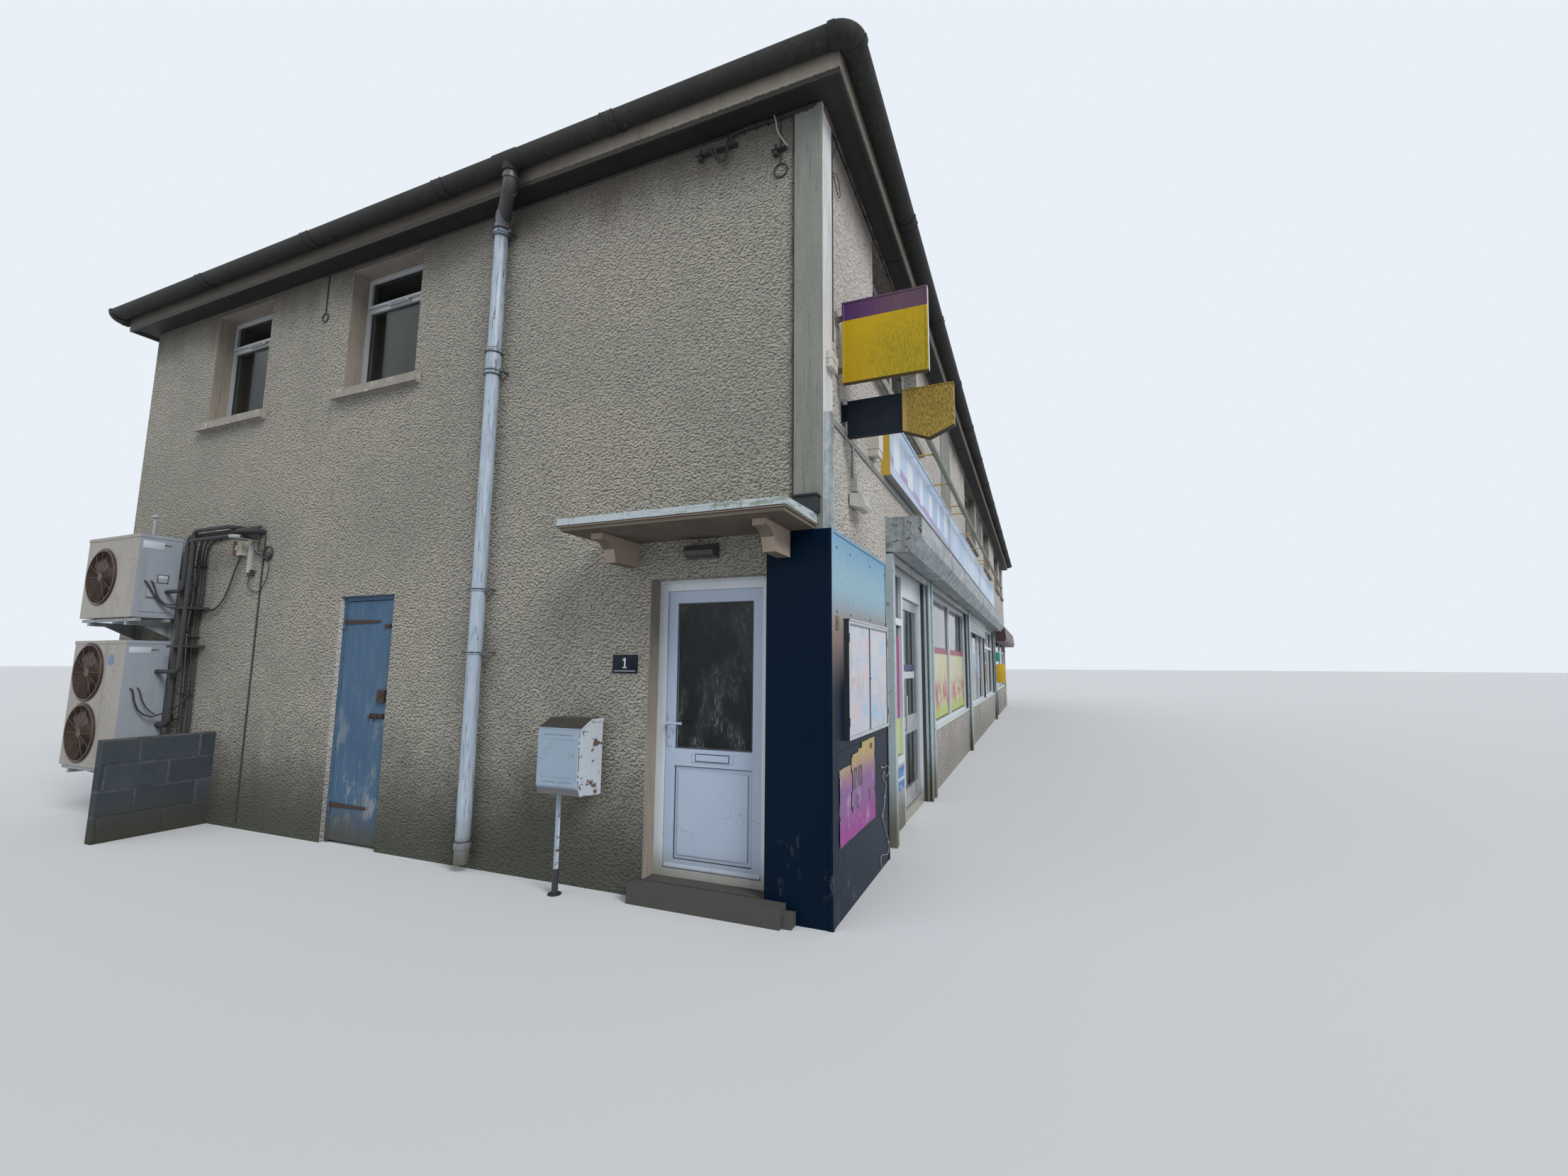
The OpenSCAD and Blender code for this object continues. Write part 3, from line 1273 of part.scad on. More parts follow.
module letter_box_door() {
  color("white") from_corner() {
    for (z = box_hinges) translate([box_pivot[0], box_pivot[1], z])
      cylinder(r = box_pin, h = 20, center = true, $fn = 24);
    difference() {
      block([box_x - 14, box_y + 6, box_z + 14], [box_x - 6, box_y + box_w - 6, box_z + box_h - 9]);
      for (z = box_hinges, s = [-1, 1])
        translate([box_pivot[0], box_pivot[1], z + s * 20.6])
          cylinder(r = box_pin + 0.8, h = 21, center = true, $fn = 24);
      // two pairs of sunk slots, near the foot and near the head
      for (z = [box_z + 40, box_z + box_h - 46], y = [box_y + 62, box_y + box_w / 2 + 12])
        block([box_x - 15, y, z], [box_x - 9, y + 110, z + 8]);
      // sunk panel between them
      difference() {
        block([box_x - 15, box_y + 40, box_z + 70],
          [box_x - 12, box_y + box_w - 40, box_z + box_h - 70]);
        block([box_x - 16, box_y + 46, box_z + 76],
          [box_x - 11, box_y + box_w - 46, box_z + box_h - 76]);
      }
    }
    translate([box_x - 13, box_y + box_w - 26, box_z + box_h * 0.52]) rotate([0, -90, 0])
      cylinder(r = 10, h = 7);
  }
}

// Condensers, their stand and the pipes

cond_x = -100 - cond_d;
cond_y = 7300;
cond_low_z = 530;
cond_top_z = 2060;
// Casing with its round fan openings sunk into the face
module condenser(z, h, fans) {
  fan_y = cond_y + cond_w * 0.67;
  fan_r = cond_w * 0.27;
  split = cond_y + cond_w * 0.34;
  lid = 34;
  difference() {
    union() {
      block([cond_x, cond_y, z], [cond_x + cond_d, cond_y + cond_w, z + h]);
      // pressed lid, and the raised ring round each fan
      block([cond_x - 5, cond_y - 5, z + h - lid],
        [cond_x + cond_d - eps, cond_y + cond_w + 5, z + h - 2]);
      for (f = fans) translate([cond_x - 14, fan_y, z + f]) rotate([0, 90, 0])
        cylinder(r = fan_r + 13, h = 15);
      // service panel's cover plates on the near side
      block([cond_x + 60, cond_y - 7, z + 60], [cond_x + cond_d - 40, cond_y + eps, z + 190]);
      block([cond_x + 90, cond_y - 20, z + 215], [cond_x + 190, cond_y + eps, z + 300]);
    }
    for (f = fans) translate([cond_x - 15, fan_y, z + f]) rotate([0, 90, 0])
      cylinder(r = fan_r, h = 90);
    // joint between the service side and the fan side, and the label's recess
    block([cond_x - eps, split, z - eps], [cond_x + 4, split + 4, z + h - lid - 2]);
    block([cond_x - eps, cond_y + 60, z + h * 0.62],
      [cond_x + 1.5, cond_y + 190, z + h * 0.62 + 60]);
    // hand hold
    block([cond_x + 150, cond_y - eps, z + h - 120], [cond_x + 260, cond_y + 14, z + h - 90]);
  }
  // hub and three tilted blades in each opening
  for (f = fans) translate([cond_x, fan_y, z + f]) rotate([0, 90, 0]) {
    cylinder(r = 62, h = 77);
    translate([0, 0, 2]) cylinder(r = 40, h = 20);
    for (a = [20, 140, 260]) rotate(a) translate([40, 0, 34]) rotate([16, 0, 0])
      translate([0, -75, -2]) cube([fan_r - 56, 150, 4]);
  }
  // feet on the rails
  for (y = [cond_y + 150, cond_y + cond_w - 190])
    block([cond_x + 30, y, z - 10], [cond_x + cond_d - 30, y + 40, z + eps]);
}
module condensers() {
  color("beige") from_corner() {
    condenser(cond_low_z, cond_low_h, [cond_low_h * 0.26, cond_low_h * 0.743]);
    condenser(cond_top_z, cond_top_h, [cond_top_h * 0.506]);
    // vent pipe with its cowl on the upper unit
    translate([cond_x + 220, cond_y + 300, cond_top_z + cond_top_h - 3]) {
      cylinder(r = 14, h = 245);
      cylinder(r = 26, h = 12);
      translate([0, 0, 236]) cylinder(r = 34, h = 12);
      translate([0, 0, 247]) cylinder(r1 = 34, r2 = 12, h = 26);
    }
  }
}

// Two upright channels bolted to the wall, with arms under each casing
module condenser_stand() {
  web = 5;
  foot = 10 + seat;
  color("slategray") from_corner() {
    for (y = [cond_y + 120, cond_y + cond_w - 160]) {
      // slotted upright channel
      difference() {
        block([-45, y, 250], [-seat, y + 40, 2500]);
        block([-46, y + web, 249], [-seat - web, y + 40 - web, 2501]);
      }
      for (z = [cond_low_z, cond_top_z]) {
        arm = z - foot - 30;
        block([cond_x + 20, y, arm - 40], [-44, y + 40, arm]);
        along_y(y + 16, y + 24) polygon([[-44, arm - 39], [-44, arm - 170], [-300, arm - 39]]);
      }
    }
    // rails along the arms that carry the casings' feet
    for (z = [cond_low_z, cond_top_z], x = [cond_x + 30, cond_x + cond_d - 80])
      block([x, cond_y - 20, z - foot - 31], [x + 45, cond_y + cond_w + 20, z - foot]);
  }
}

// Lagged pipes along the wall to the condensers, and the conduits on the street front
pipe_route_z = 2930;
// Quarter bend of radius b from the direction of -Y round to the direction of -Z
module down_bend(b, r) {
  translate([0, 0, -b]) rotate([90, 0, 90]) rotate_extrude(angle = 90) translate([b, 0]) circle(r);
}
// One pipe: out of the wall at y0, along it to y1, down to z1 and into a casing's side
module lagged_pipe(x, y0, y1, z0, z1, r, b) {
  translate([-seat, y0, z0]) rotate([0, -90, 0]) cylinder(r = r, h = -x - b - seat);
  translate([x + b, y0 + b, z0]) rotate(180) rotate_extrude(angle = 90) translate([b, 0]) circle(r);
  translate([x, y0 + b, z0]) rotate([-90, 0, 0]) cylinder(r = r, h = y1 - y0 - 2 * b);
  translate([x, y1 - b, z0]) down_bend(b, r);
  translate([x, y1, z1]) cylinder(r = r, h = z0 - b - z1);
  translate([x, y1 + b, z1]) rotate([180, 0, 0]) rotate([90, 0, 90])
    rotate_extrude(angle = 90) translate([b, 0]) circle(r);
  translate([x, y1 + b, z1 - b]) rotate([-90, 0, 0])
    cylinder(r = r, h = cond_y - 8 - seat - y1 - b);
}
cable_r = 7;
module pipes_and_cables() {
  wall_y = cond_y - 1260;
  color([0.12, 0.12, 0.13]) from_corner() {
    lagged_pipe(-132, wall_y, cond_y - 190, pipe_route_z, 1010, 27, 60);
    lagged_pipe(-190, wall_y + 140, cond_y - 300, pipe_route_z - 60, 2400, 20, 60);
    lagged_pipe(-190, wall_y + 230, cond_y - 400, pipe_route_z + 40, 1560, 22, 60);
    // band round the pipes on a wall bracket
    for (z = [2150, 1750]) block([-200, cond_y - 430, z], [-seat, cond_y - 150, z + 24]);
    // cable down to the ground and its spare coil
    translate([-cable_r - seat, wall_y - 26, 60]) cylinder(r = cable_r, h = 2840);
    translate([-cable_r - seat - 1, wall_y - 96, 2700]) rotate([0, 90, 0])
      rotate_extrude() translate([72, 0]) circle(r = cable_r + 0.5);
    // isolator with its switch, and the small connection box
    block([-60, wall_y + 260, 2700], [-seat, wall_y + 410, 2850]);
    block([-74, wall_y + 310, 2750], [-59, wall_y + 360, 2800]);
    block([-40, wall_y + 100, 2480], [-seat, wall_y + 160, 2540]);
    // cable down the corner and the bundle clipped under the soffit
    translate([-5 - seat, corner_band + 8, canopy_top + 123])
      cylinder(r = 5, h = soffit_z - canopy_top - 160);
    translate([-cable_r - 1, 250, soffit_z - cable_r - 3]) rotate([-90, 0, 0])
      cylinder(r = cable_r, h = 5200);
    translate([260, -cable_r - 1, soffit_z - cable_r - 3]) rotate([0, 90, 0])
      cylinder(r = cable_r, h = 5400);
    // hanging cable with its coil, and the angle irons near the street corner
    translate([-cable_r - seat, 5400, 5180]) cylinder(r = 5, h = soffit_z - 5195);
    for (c = [[5400, 5140, 44], [310, 5180, 52]]) translate([-cable_r - seat, c[0], c[1]])
      rotate([0, 90, 0]) rotate_extrude() translate([c[2], 0]) circle(r = 5.5);
    translate([-cable_r - seat, 310, 5228]) cylinder(r = 4, h = soffit_z - 5243);
    for (a = [[660, 340, 5490], [262, 110, 5330]]) {
      block([-46, a[0], a[2]], [-seat, a[0] + a[1], a[2] + 5]);
      block([-5, a[0], a[2]], [-seat, a[0] + a[1], a[2] + 42]);
      translate([-30, a[0] + a[1] - 30, a[2] - 46]) cylinder(r = 9, h = 92);
      translate([-30, a[0] + a[1] - 30, a[2] - 40]) cylinder(r = 20, h = 26);
    }
    for (k = [1 : 8]) {
      block([-18, 240 + k * 600, soffit_z - 17], [-seat, 252 + k * 600, soffit_z - seat]);
      block([260 + k * 600, -18, soffit_z - 17], [272 + k * 600, -seat, soffit_z - seat]);
    }
  }
  color("silver") from_corner() {
    // two conduits under the fascia sign, their saddles, the drop to the junction box
    for (z = [sign_z - 45, sign_z - 18]) translate([corner_band + 4, -10.3, z])
      rotate([0, 90, 0]) cylinder(r = 10, h = 3100);
    for (x = [1100, 1700, 2300, 2900]) block([x, -23, sign_z - 60], [x + 16, -seat, sign_z - 6]);
    translate([720, -10.3, 3031]) cylinder(r = 10, h = sign_z - 45 - 3031);
    // white duct down to the connection box
    block([-25, wall_y + 175, 2541], [-seat, wall_y + 210, 2880]);
    block([-25, wall_y + 130, 2515], [-seat, wall_y + 210, 2545]);
  }
}

// Rough wall of four courses of concrete blocks beside the condensers
module screen_wall() {
  y0 = 6500;
  color("gray") from_corner() difference() {
    block([-screen_l, y0, 0], [-seat, y0 + 100, screen_h]);
    for (i = [1 : 3]) for (y = [y0 - 4, y0 + 96])
      block([-screen_l - 1, y, i * screen_h / 4 - 5], [0, y + 8, i * screen_h / 4 + 5]);
  }
}

// Dark boxed canopy over the last shop
module far_shop_canopy() {
  color([0.15, 0.1, 0.1]) from_corner()
    along_x(unit_end_x + 200, block_l - 150)
      polygon([[-seat, 2350], [-seat, 2800], [-340, 2800], [-380, 2450], [-340, 2350]]);
}

ground_floor();
upper_floors();
end_wall_lower();
end_wall_upper();
front_wall_lower();
front_wall_upper();
rear_wall();
far_end_wall();
smooth_bands();
hip_roof();
eaves_boards();
gutter();
downpipe();
upper_window_frames();
upper_window_glass();
sills_and_step();
flat_door_frame();
flat_door_leaf();
flat_door_glass();
door_canopy();
store_door_frame();
store_door_leaf();
store_door_ironwork();
shop_front_frames();
shop_front_glass();
shop_door_leaf();
shop_door_glass();
shutter_boxes();
shutter_guides();
shutter_curtains();
fascia_sign();
sign_lights();
square_sign();
badge_sign();
notice_board();
corner_panel();
corner_trim();
outside_lights();
letter_box();
letter_box_door();
condensers();
condenser_stand();
pipes_and_cables();
screen_wall();
far_shop_canopy();
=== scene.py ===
import math
import random

import bpy
from mathutils import Matrix, Vector


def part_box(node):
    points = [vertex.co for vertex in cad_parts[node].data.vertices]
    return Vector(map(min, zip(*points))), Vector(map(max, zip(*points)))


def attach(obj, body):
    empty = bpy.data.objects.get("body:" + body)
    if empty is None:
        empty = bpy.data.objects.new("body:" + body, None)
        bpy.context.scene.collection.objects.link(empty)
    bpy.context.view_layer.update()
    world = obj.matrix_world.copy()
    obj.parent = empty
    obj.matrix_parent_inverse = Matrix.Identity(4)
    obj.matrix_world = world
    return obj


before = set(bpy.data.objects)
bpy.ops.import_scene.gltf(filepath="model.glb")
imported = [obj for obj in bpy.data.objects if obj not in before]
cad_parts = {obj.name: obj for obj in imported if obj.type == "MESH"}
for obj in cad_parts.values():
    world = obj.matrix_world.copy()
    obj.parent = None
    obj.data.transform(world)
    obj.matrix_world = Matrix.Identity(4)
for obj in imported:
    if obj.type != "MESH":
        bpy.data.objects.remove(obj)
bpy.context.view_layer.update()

# Studio: the camera stands by the street corner at eye height with a wide lens, a pale
# floor lies under the walls, and a low soft sun from the street side lights both faces.
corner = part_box("end_wall_lower")[0]


def spot(x, y, z):
    """A point given from the building's street corner: along the street, inwards, up."""
    return (corner[0] + x, corner[1] + y, z)


bpy.ops.object.camera_add(location=spot(-3.83031, -1.28706, 1.6),
                          rotation=(math.radians(97.0184), math.radians(-0.2601),
                                    math.radians(-67.8964)))
camera = bpy.context.object
camera.name = "photo_camera"
sensor_width, focal_pixels, photo_pixels = (36, 879.94, 2212)
camera.data.sensor_width = sensor_width
camera.data.lens = sensor_width * focal_pixels / photo_pixels
camera.data.clip_end = 400
bpy.context.scene.camera = camera

for name, strength, angle, turn in [("street_sun", 2.15, 24, (52, 0, -28)),
                                    ("yard_fill", 0.55, 60, (58, 0, -122))]:
    bpy.ops.object.light_add(type="SUN", rotation=[math.radians(a) for a in turn])
    lamp = bpy.context.object
    lamp.name = name
    lamp.data.energy = strength
    lamp.data.angle = math.radians(angle)

world = bpy.data.worlds.new("studio_air")
bpy.context.scene.world = world
world.use_nodes = True
air = world.node_tree
air.nodes["Background"].inputs["Color"].default_value = (0.86, 0.92, 1, 1)
air.nodes["Background"].inputs["Strength"].default_value = 0.5
seen = air.nodes.new("ShaderNodeBackground")
seen.inputs["Color"].default_value = (0.82, 0.87, 0.93, 1)
path = air.nodes.new("ShaderNodeLightPath")
straight = path.outputs["Is Camera Ray"]
for ray in ("Is Glossy Ray", "Is Transmission Ray"):
    either = air.nodes.new("ShaderNodeMath")
    either.operation = "MAXIMUM"
    air.links.new(straight, either.inputs[0])
    air.links.new(path.outputs[ray], either.inputs[1])
    straight = either.outputs[0]
choose = air.nodes.new("ShaderNodeMixShader")
air.links.new(straight, choose.inputs["Fac"])
air.links.new(air.nodes["Background"].outputs[0], choose.inputs[1])
air.links.new(seen.outputs[0], choose.inputs[2])
air.links.new(choose.outputs[0], air.nodes["World Output"].inputs["Surface"])

bpy.ops.mesh.primitive_plane_add(size=600, location=(0, 0, 0))
floor = bpy.context.object
floor.name = "studio_floor"
floor_paint = bpy.data.materials.new("studio_floor_paint")
floor_paint.use_nodes = True
floor_inputs = floor_paint.node_tree.nodes["Principled BSDF"].inputs
floor_inputs["Base Color"].default_value = (0.62, 0.63, 0.64, 1)
floor_inputs["Roughness"].default_value = 0.9
floor.data.materials.append(floor_paint)


# Outer walls: brickwork under thick roughcast thrown on by hand, unpainted beige gone grey,
# darker under the eaves from grime and painted eaves shade, dark at the foot, warmer where it
# has stayed dry; the lumps carry painted highlights and shade, the street face painted paler.
class Value:
    """A node's output; sums, products and comparisons of values place their own nodes."""

    def __init__(self, socket):
        self.socket = socket
        self.tree = socket.id_data

    def __add__(self, other):
        return maths("ADD", self, other)

    def __radd__(self, other):
        return maths("ADD", other, self)

    def __sub__(self, other):
        return maths("SUBTRACT", self, other)

    def __rsub__(self, other):
        return maths("SUBTRACT", other, self)

    def __mul__(self, other):
        return maths("MULTIPLY", self, other)

    def __truediv__(self, other):
        return maths("DIVIDE", self, other)

    def __lt__(self, other):
        return maths("LESS_THAN", self, other)

    def __gt__(self, other):
        return maths("GREATER_THAN", self, other)

    def __abs__(self):
        return maths("ABSOLUTE", self)


def plug(socket, value):
    """Links a value to a node's socket, or sets a number or a colour there."""
    if isinstance(value, Value):
        value.tree.links.new(value.socket, socket)
    else:
        socket.default_value = (*value, 1) if socket.type == "RGBA" else value


def node(tree, kind, out=0, **settings):
    """A new node's output: a name with a capital is a socket, one without is a setting."""
    made = tree.nodes.new("ShaderNode" + kind)
    for key in sorted(settings, key=lambda key: key[0].isupper()):
        if key[0].isupper():
            plug(made.inputs[key.replace("_", " ")], settings[key])
        else:
            setattr(made, key, settings[key])
    return Value(made.outputs[out])


def maths(way, a, b=0.0, clamp=False):
    tree = (a if isinstance(a, Value) else b).tree
    total = node(tree, "Math", operation=way, use_clamp=clamp)
    for socket, value in zip(total.socket.node.inputs, (a, b)):
        plug(socket, value)
    return total


def mix(factor, low, high):
    """Two colours mixed by a factor."""
    mixed = node(factor.tree, "Mix", 2, data_type="RGBA")
    for index, value in ((0, factor), (6, low), (7, high)):
        plug(mixed.socket.node.inputs[index], value)
    return mixed


def span(value, start, end, low=0.0, high=1.0):
    """A value's way from start to end, smoothed and laid on low to high."""
    return node(value.tree, "MapRange", interpolation_type="SMOOTHSTEP", Value=value,
                From_Min=start, From_Max=end, To_Min=low, To_Max=high)


def off_middle(value):
    """How far a value is from the middle between the whole numbers on both sides of it."""
    return abs(maths("FRACT", value) - 0.5)


def axis(vector, letter):
    return node(vector.tree, "SeparateXYZ", letter, Vector=vector)


def noise(vector, scale, detail=4.0, rough=0.55, warp=0.0):
    return node(vector.tree, "TexNoise", Vector=vector, Scale=scale, Detail=detail,
                Roughness=rough, Distortion=warp)


# Rain streaks, the splash and moss near the ground, and specks of dirt are shared.
def effect(name, mask, **takes):
    """A shared mask: a group of nodes over a place and two measures of its own."""
    group = bpy.data.node_groups.new(name, "ShaderNodeTree")
    group.interface.new_socket("Vector", in_out="INPUT", socket_type="NodeSocketVector")
    for label, usual in takes.items():
        socket = group.interface.new_socket(label, in_out="INPUT", socket_type="NodeSocketFloat")
        socket.default_value = usual
    group.interface.new_socket("Mask", in_out="OUTPUT", socket_type="NodeSocketFloat")
    given = [Value(socket) for socket in group.nodes.new("NodeGroupInput").outputs]
    plug(group.nodes.new("NodeGroupOutput").inputs["Mask"], mask(*given[:3]))
    return group


def streaks(place, width, amount):
    stretch = node(place.tree, "CombineXYZ", X=width, Y=width, Z=0.35)
    run = node(place.tree, "VectorMath", operation="MULTIPLY")
    for socket, value in zip(run.socket.node.inputs, (place, stretch)):
        plug(socket, value)
    streak = span(noise(run, 1, 5, 0.6), 0.46, 0.72) * span(noise(place, 2, 3), 0.32, 0.6)
    return maths("MULTIPLY", streak, amount, True)


def splashed(place, height, ragged):
    edge = noise(place, 3, 6, 0.65) * ragged
    return span(axis(place, "Z") / (edge + height), 1.2, 0.1)


def dirty(place, scale, cover):
    fine = noise(place, scale, 6, 0.7)
    return maths("MULTIPLY", fine - (0.76 - cover * 0.36), 12, True)


rain_streaks = effect("rain_streaks", streaks, Width=6, Amount=0.5)
ground_splash = effect("ground_splash", splashed, Height=0.6, Ragged=0.4)
dirt_specks = effect("specks", dirty, Scale=40, Cover=0.4)


class Finish:
    """A material over the object's own coordinates, painted coat by coat."""

    def __init__(self, name, roughness, metallic=0.0, specular=0.5):
        self.material = bpy.data.materials.new(name)
        self.material.use_nodes = True
        self.inputs = self.material.node_tree.nodes["Principled BSDF"].inputs
        self.inputs["Roughness"].default_value = roughness
        self.inputs["Metallic"].default_value = metallic
        self.inputs["Specular IOR Level"].default_value = specular
        self.place = self.node("TexCoord", "Object")
        apart = self.node("SeparateXYZ", Vector=self.place).socket.node
        self.x, self.y, self.z = map(Value, apart.outputs)

    def node(self, kind, out=0, **settings):
        return node(self.material.node_tree, kind, out, **settings)

    def facing(self, letter, kind="NewGeometry"):
        """How far the surface looks along an axis, from -1 to 1."""
        return axis(self.node(kind, "Normal"), letter)

    def stretched(self, *scale):
        return self.node("Mapping", Vector=self.place, Scale=scale)

    def noise(self, scale, *settings):
        """Noise with one scale, or with a scale along each axis."""
        if isinstance(scale, tuple):
            return noise(self.stretched(*scale), 1, *settings)
        return noise(self.place, scale, *settings)

    def shared(self, group, *values):
        """The mask of a shared effect."""
        mask = self.node("Group", node_tree=group)
        for socket, value in zip(mask.socket.node.inputs, values):
            plug(socket, value)
        return mask

    def rain(self, width, amount):
        return self.shared(rain_streaks, self.place, width, amount)

    def splash(self, height, ragged):
        return self.shared(ground_splash, self.place, height, ragged)

    def specks(self, scale, cover, at=None):
        return self.shared(dirt_specks, at or self.place, scale, cover)

    def base(self, factor, low, high):
        self.colour = mix(factor, low, high)

    def coat(self, amount, colour):
        """Another colour over what is there already."""
        self.colour = mix(amount, self.colour, colour)

    def relief(self, height, depth, roughness=None):
        """The last step: the colour, a relief of so many metres and a gloss."""
        plug(self.inputs["Base Color"], self.colour)
        plug(self.inputs["Normal"], self.node("Bump", Height=height, Distance=depth))
        if roughness:
            plug(self.inputs["Roughness"], roughness)


def dress(finish, *nodes):
    """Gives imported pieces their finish."""
    for name in nodes:
        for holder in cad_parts[name].material_slots:
            holder.material = finish.material


block_long, block_deep = (23.6, 8.62)
skin = Finish("roughcast", 0.93, specular=0.12)
# The street face is given paler tones below: painted light, as the sun falls on it.
street_side = skin.facing("Y") < -0.5
lump = (40, 40, 60)
ridges = skin.noise(lump, 2, 0.5, 0.5)
# Noise shifted up and towards the light: lump faces turned to it are painted lighter and the
# undersides darker, as painted highlight and shade.
lifted = skin.node("Mapping", Vector=skin.place, Scale=lump, Location=(0.12, 0.12, 0.45))
ridges_above = noise(lifted, 1, 2, 0.5, 0.5)
lit_side_of_lumps = span(ridges - ridges_above, -0.13, 0.11)
patches = skin.noise(0.6, 6, 0.62)
lump_shade_tones = mix(street_side, (0.15, 0.141, 0.124), (0.31, 0.29, 0.265))
lump_lit_tones = mix(street_side, (0.42, 0.395, 0.34), (0.62, 0.575, 0.53))
skin.base(lit_side_of_lumps, lump_shade_tones, lump_lit_tones)
damp = span(patches, 0.62, 0.38) * span(skin.z, 5.2, 1.5, 0.35, 1)
skin.coat(damp * 0.42, mix(street_side, (0.155, 0.165, 0.14), (0.3, 0.29, 0.26)))
# Painted shade in the hollows between the lumps.
skin.coat(span(ridges, 0.46, 0.32, 0, 0.5), (0.075, 0.072, 0.064))
skin.coat(skin.specks(26, 0.18), (0.1, 0.095, 0.08))
skin.coat(skin.rain(2.4, 0.18), (0.17, 0.165, 0.145))
ragged = skin.noise((2.2, 2.2, 0.5), 5)
# Darker under the eaves: grime and painted shade of the eaves.
soot_and_eaves_shade = span(skin.z + ragged * 0.8, 5.45, 6) * 0.72
skin.coat(soot_and_eaves_shade, (0.085, 0.072, 0.06))
foot = skin.splash(0.45, 1.2)
foot = foot * (0.85 - street_side * 0.4)
skin.coat(foot, (0.042, 0.047, 0.037))
in_wall = 0.23
indoors = (skin.x > corner[0] + in_wall) * (skin.y > corner[1] + in_wall)
indoors = indoors * (skin.x < corner[0] + block_long - in_wall)
indoors = indoors * (skin.y < corner[1] + block_deep - in_wall)
skin.coat(indoors, mix(patches, (0.13, 0.12, 0.105), (0.2, 0.185, 0.165)))
skin.relief(ridges, 0.015)
dress(skin, "end_wall_lower", "end_wall_upper", "rear_wall", "far_end_wall", "front_wall_upper",
      "front_wall_lower")

# Smooth render: bands of grey-green render by the street corner and on the party wall,
# white paint on the street side of the corner, and trowelled reveals of the openings.
skin = Finish("smooth_render", 0.85, specular=0.25)
tone = skin.noise(2.2, 6, 0.65)
grey_green = mix(tone, (0.16, 0.17, 0.15), (0.29, 0.295, 0.265))
white = mix(tone, (0.54, 0.54, 0.55), (0.68, 0.67, 0.66))
by_corner = (skin.x < corner[0] + 0.6) * (skin.y < corner[1] + 0.1)
reveals = mix(tone, (0.195, 0.165, 0.135), (0.335, 0.285, 0.235))
skin.base(skin.y > corner[1] + 0.3, grey_green, reveals)
skin.coat((skin.facing("Y") < -0.5) * by_corner, white)
runs = skin.noise((60, 60, 3), 5, 0.7)
skin.coat(span(runs, 0.5, 0.66, 0, 0.45), (0.1, 0.105, 0.09))
skin.coat(skin.rain(5, 0.35), (0.13, 0.14, 0.11))
skin.coat(skin.specks(30, 0.3), (0.09, 0.09, 0.075))
skin.relief(skin.noise(50, 6, 0.65), 0.005)
dress(skin, "smooth_bands")

# Floors: a cast slab under the shop and timber floors with plaster ceilings above, built
# into the walls; only strips of them are seen through the glass.
for name, storey, dark, pale in [
        ("slab_concrete", "ground_floor", (0.16, 0.155, 0.15), (0.3, 0.29, 0.27)),
        ("floor_plaster", "upper_floors", (0.16, 0.15, 0.135), (0.24, 0.225, 0.205))]:
    skin = Finish(name, 0.8)
    skin.base(skin.noise(3), dark, pale)
    skin.relief(skin.noise(70), 0.002)
    dress(skin, storey)

# Roof: a hipped roof of interlocking concrete tiles, brown under moss, nailed to battens,
# each course riding on the one below; half-round tiles bedded in mortar cover the joints.
def bare():
    """Ends edit mode and leaves nothing selected."""
    if bpy.context.object and bpy.context.object.mode == "EDIT":
        bpy.ops.object.mode_set(mode="OBJECT")
    bpy.ops.object.select_all(action="DESELECT")


def take(piece):
    """Leaves one piece selected and active."""
    bare()
    piece.select_set(True)
    bpy.context.view_layer.objects.active = piece


def opened():
    """Opens the active piece's mesh with all of it selected."""
    bpy.ops.object.mode_set(mode="EDIT")
    bpy.ops.mesh.select_all(action="SELECT")


def closed():
    bpy.ops.object.mode_set(mode="OBJECT")


def settle(piece, smooth=30):
    """Writes a piece's place into its mesh and smooths its round edges."""
    take(piece)
    bpy.ops.object.transform_apply(location=True, rotation=True, scale=True)
    if smooth:
        bpy.ops.object.shade_smooth_by_angle(angle=math.radians(smooth))
    return piece


def block(low, high, bevel=0.0):
    """A box between two corners with its edges rounded."""
    bare()
    bpy.ops.mesh.primitive_cube_add(size=1, location=[(a + b) / 2 for a, b in zip(low, high)])
    piece = bpy.context.object
    piece.scale = [abs(b - a) for a, b in zip(low, high)]
    settle(piece, 0)
    if bevel:
        opened()
        bpy.ops.mesh.bevel(offset=bevel, segments=2, affect="EDGES")
        closed()
    return piece


def rod(start, end, radius, sides=12):
    """A round bar from one point to another."""
    bare()
    line = Vector(end) - Vector(start)
    bpy.ops.mesh.primitive_cone_add(vertices=sides, radius1=radius, radius2=radius,
                                    depth=line.length,
                                    location=(Vector(start) + Vector(end)) / 2,
                                    rotation=line.to_track_quat("Z", "Y").to_euler())
    return settle(bpy.context.object, 0)


def slab(low, high, bevel=0.0):
    """A block given from the street corner."""
    return block(spot(*low), spot(*high), bevel)


def pin(start, end, radius, sides=12):
    """A rod given from the street corner."""
    return rod(spot(*start), spot(*end), radius, sides)


def again(piece, shift):
    """A copy of a piece with its own mesh, moved."""
    twin = piece.copy()
    twin.data = piece.data.copy()
    bpy.context.collection.objects.link(twin)
    twin.location = Vector(twin.location) + Vector(shift)
    return twin


def whole(name, pieces, finish, body="building", smooth=30):
    """Joins pieces under one name, dresses them and fixes them to their body."""
    bare()
    for each in pieces:
        each.select_set(True)
    piece = pieces[0]
    bpy.context.view_layer.objects.active = piece
    if len(pieces) > 1:
        bpy.ops.object.join()
    settle(piece, smooth)
    piece.name = piece.data.name = name
    piece.data.materials.clear()
    piece.data.materials.append(finish.material)
    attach(piece, body)


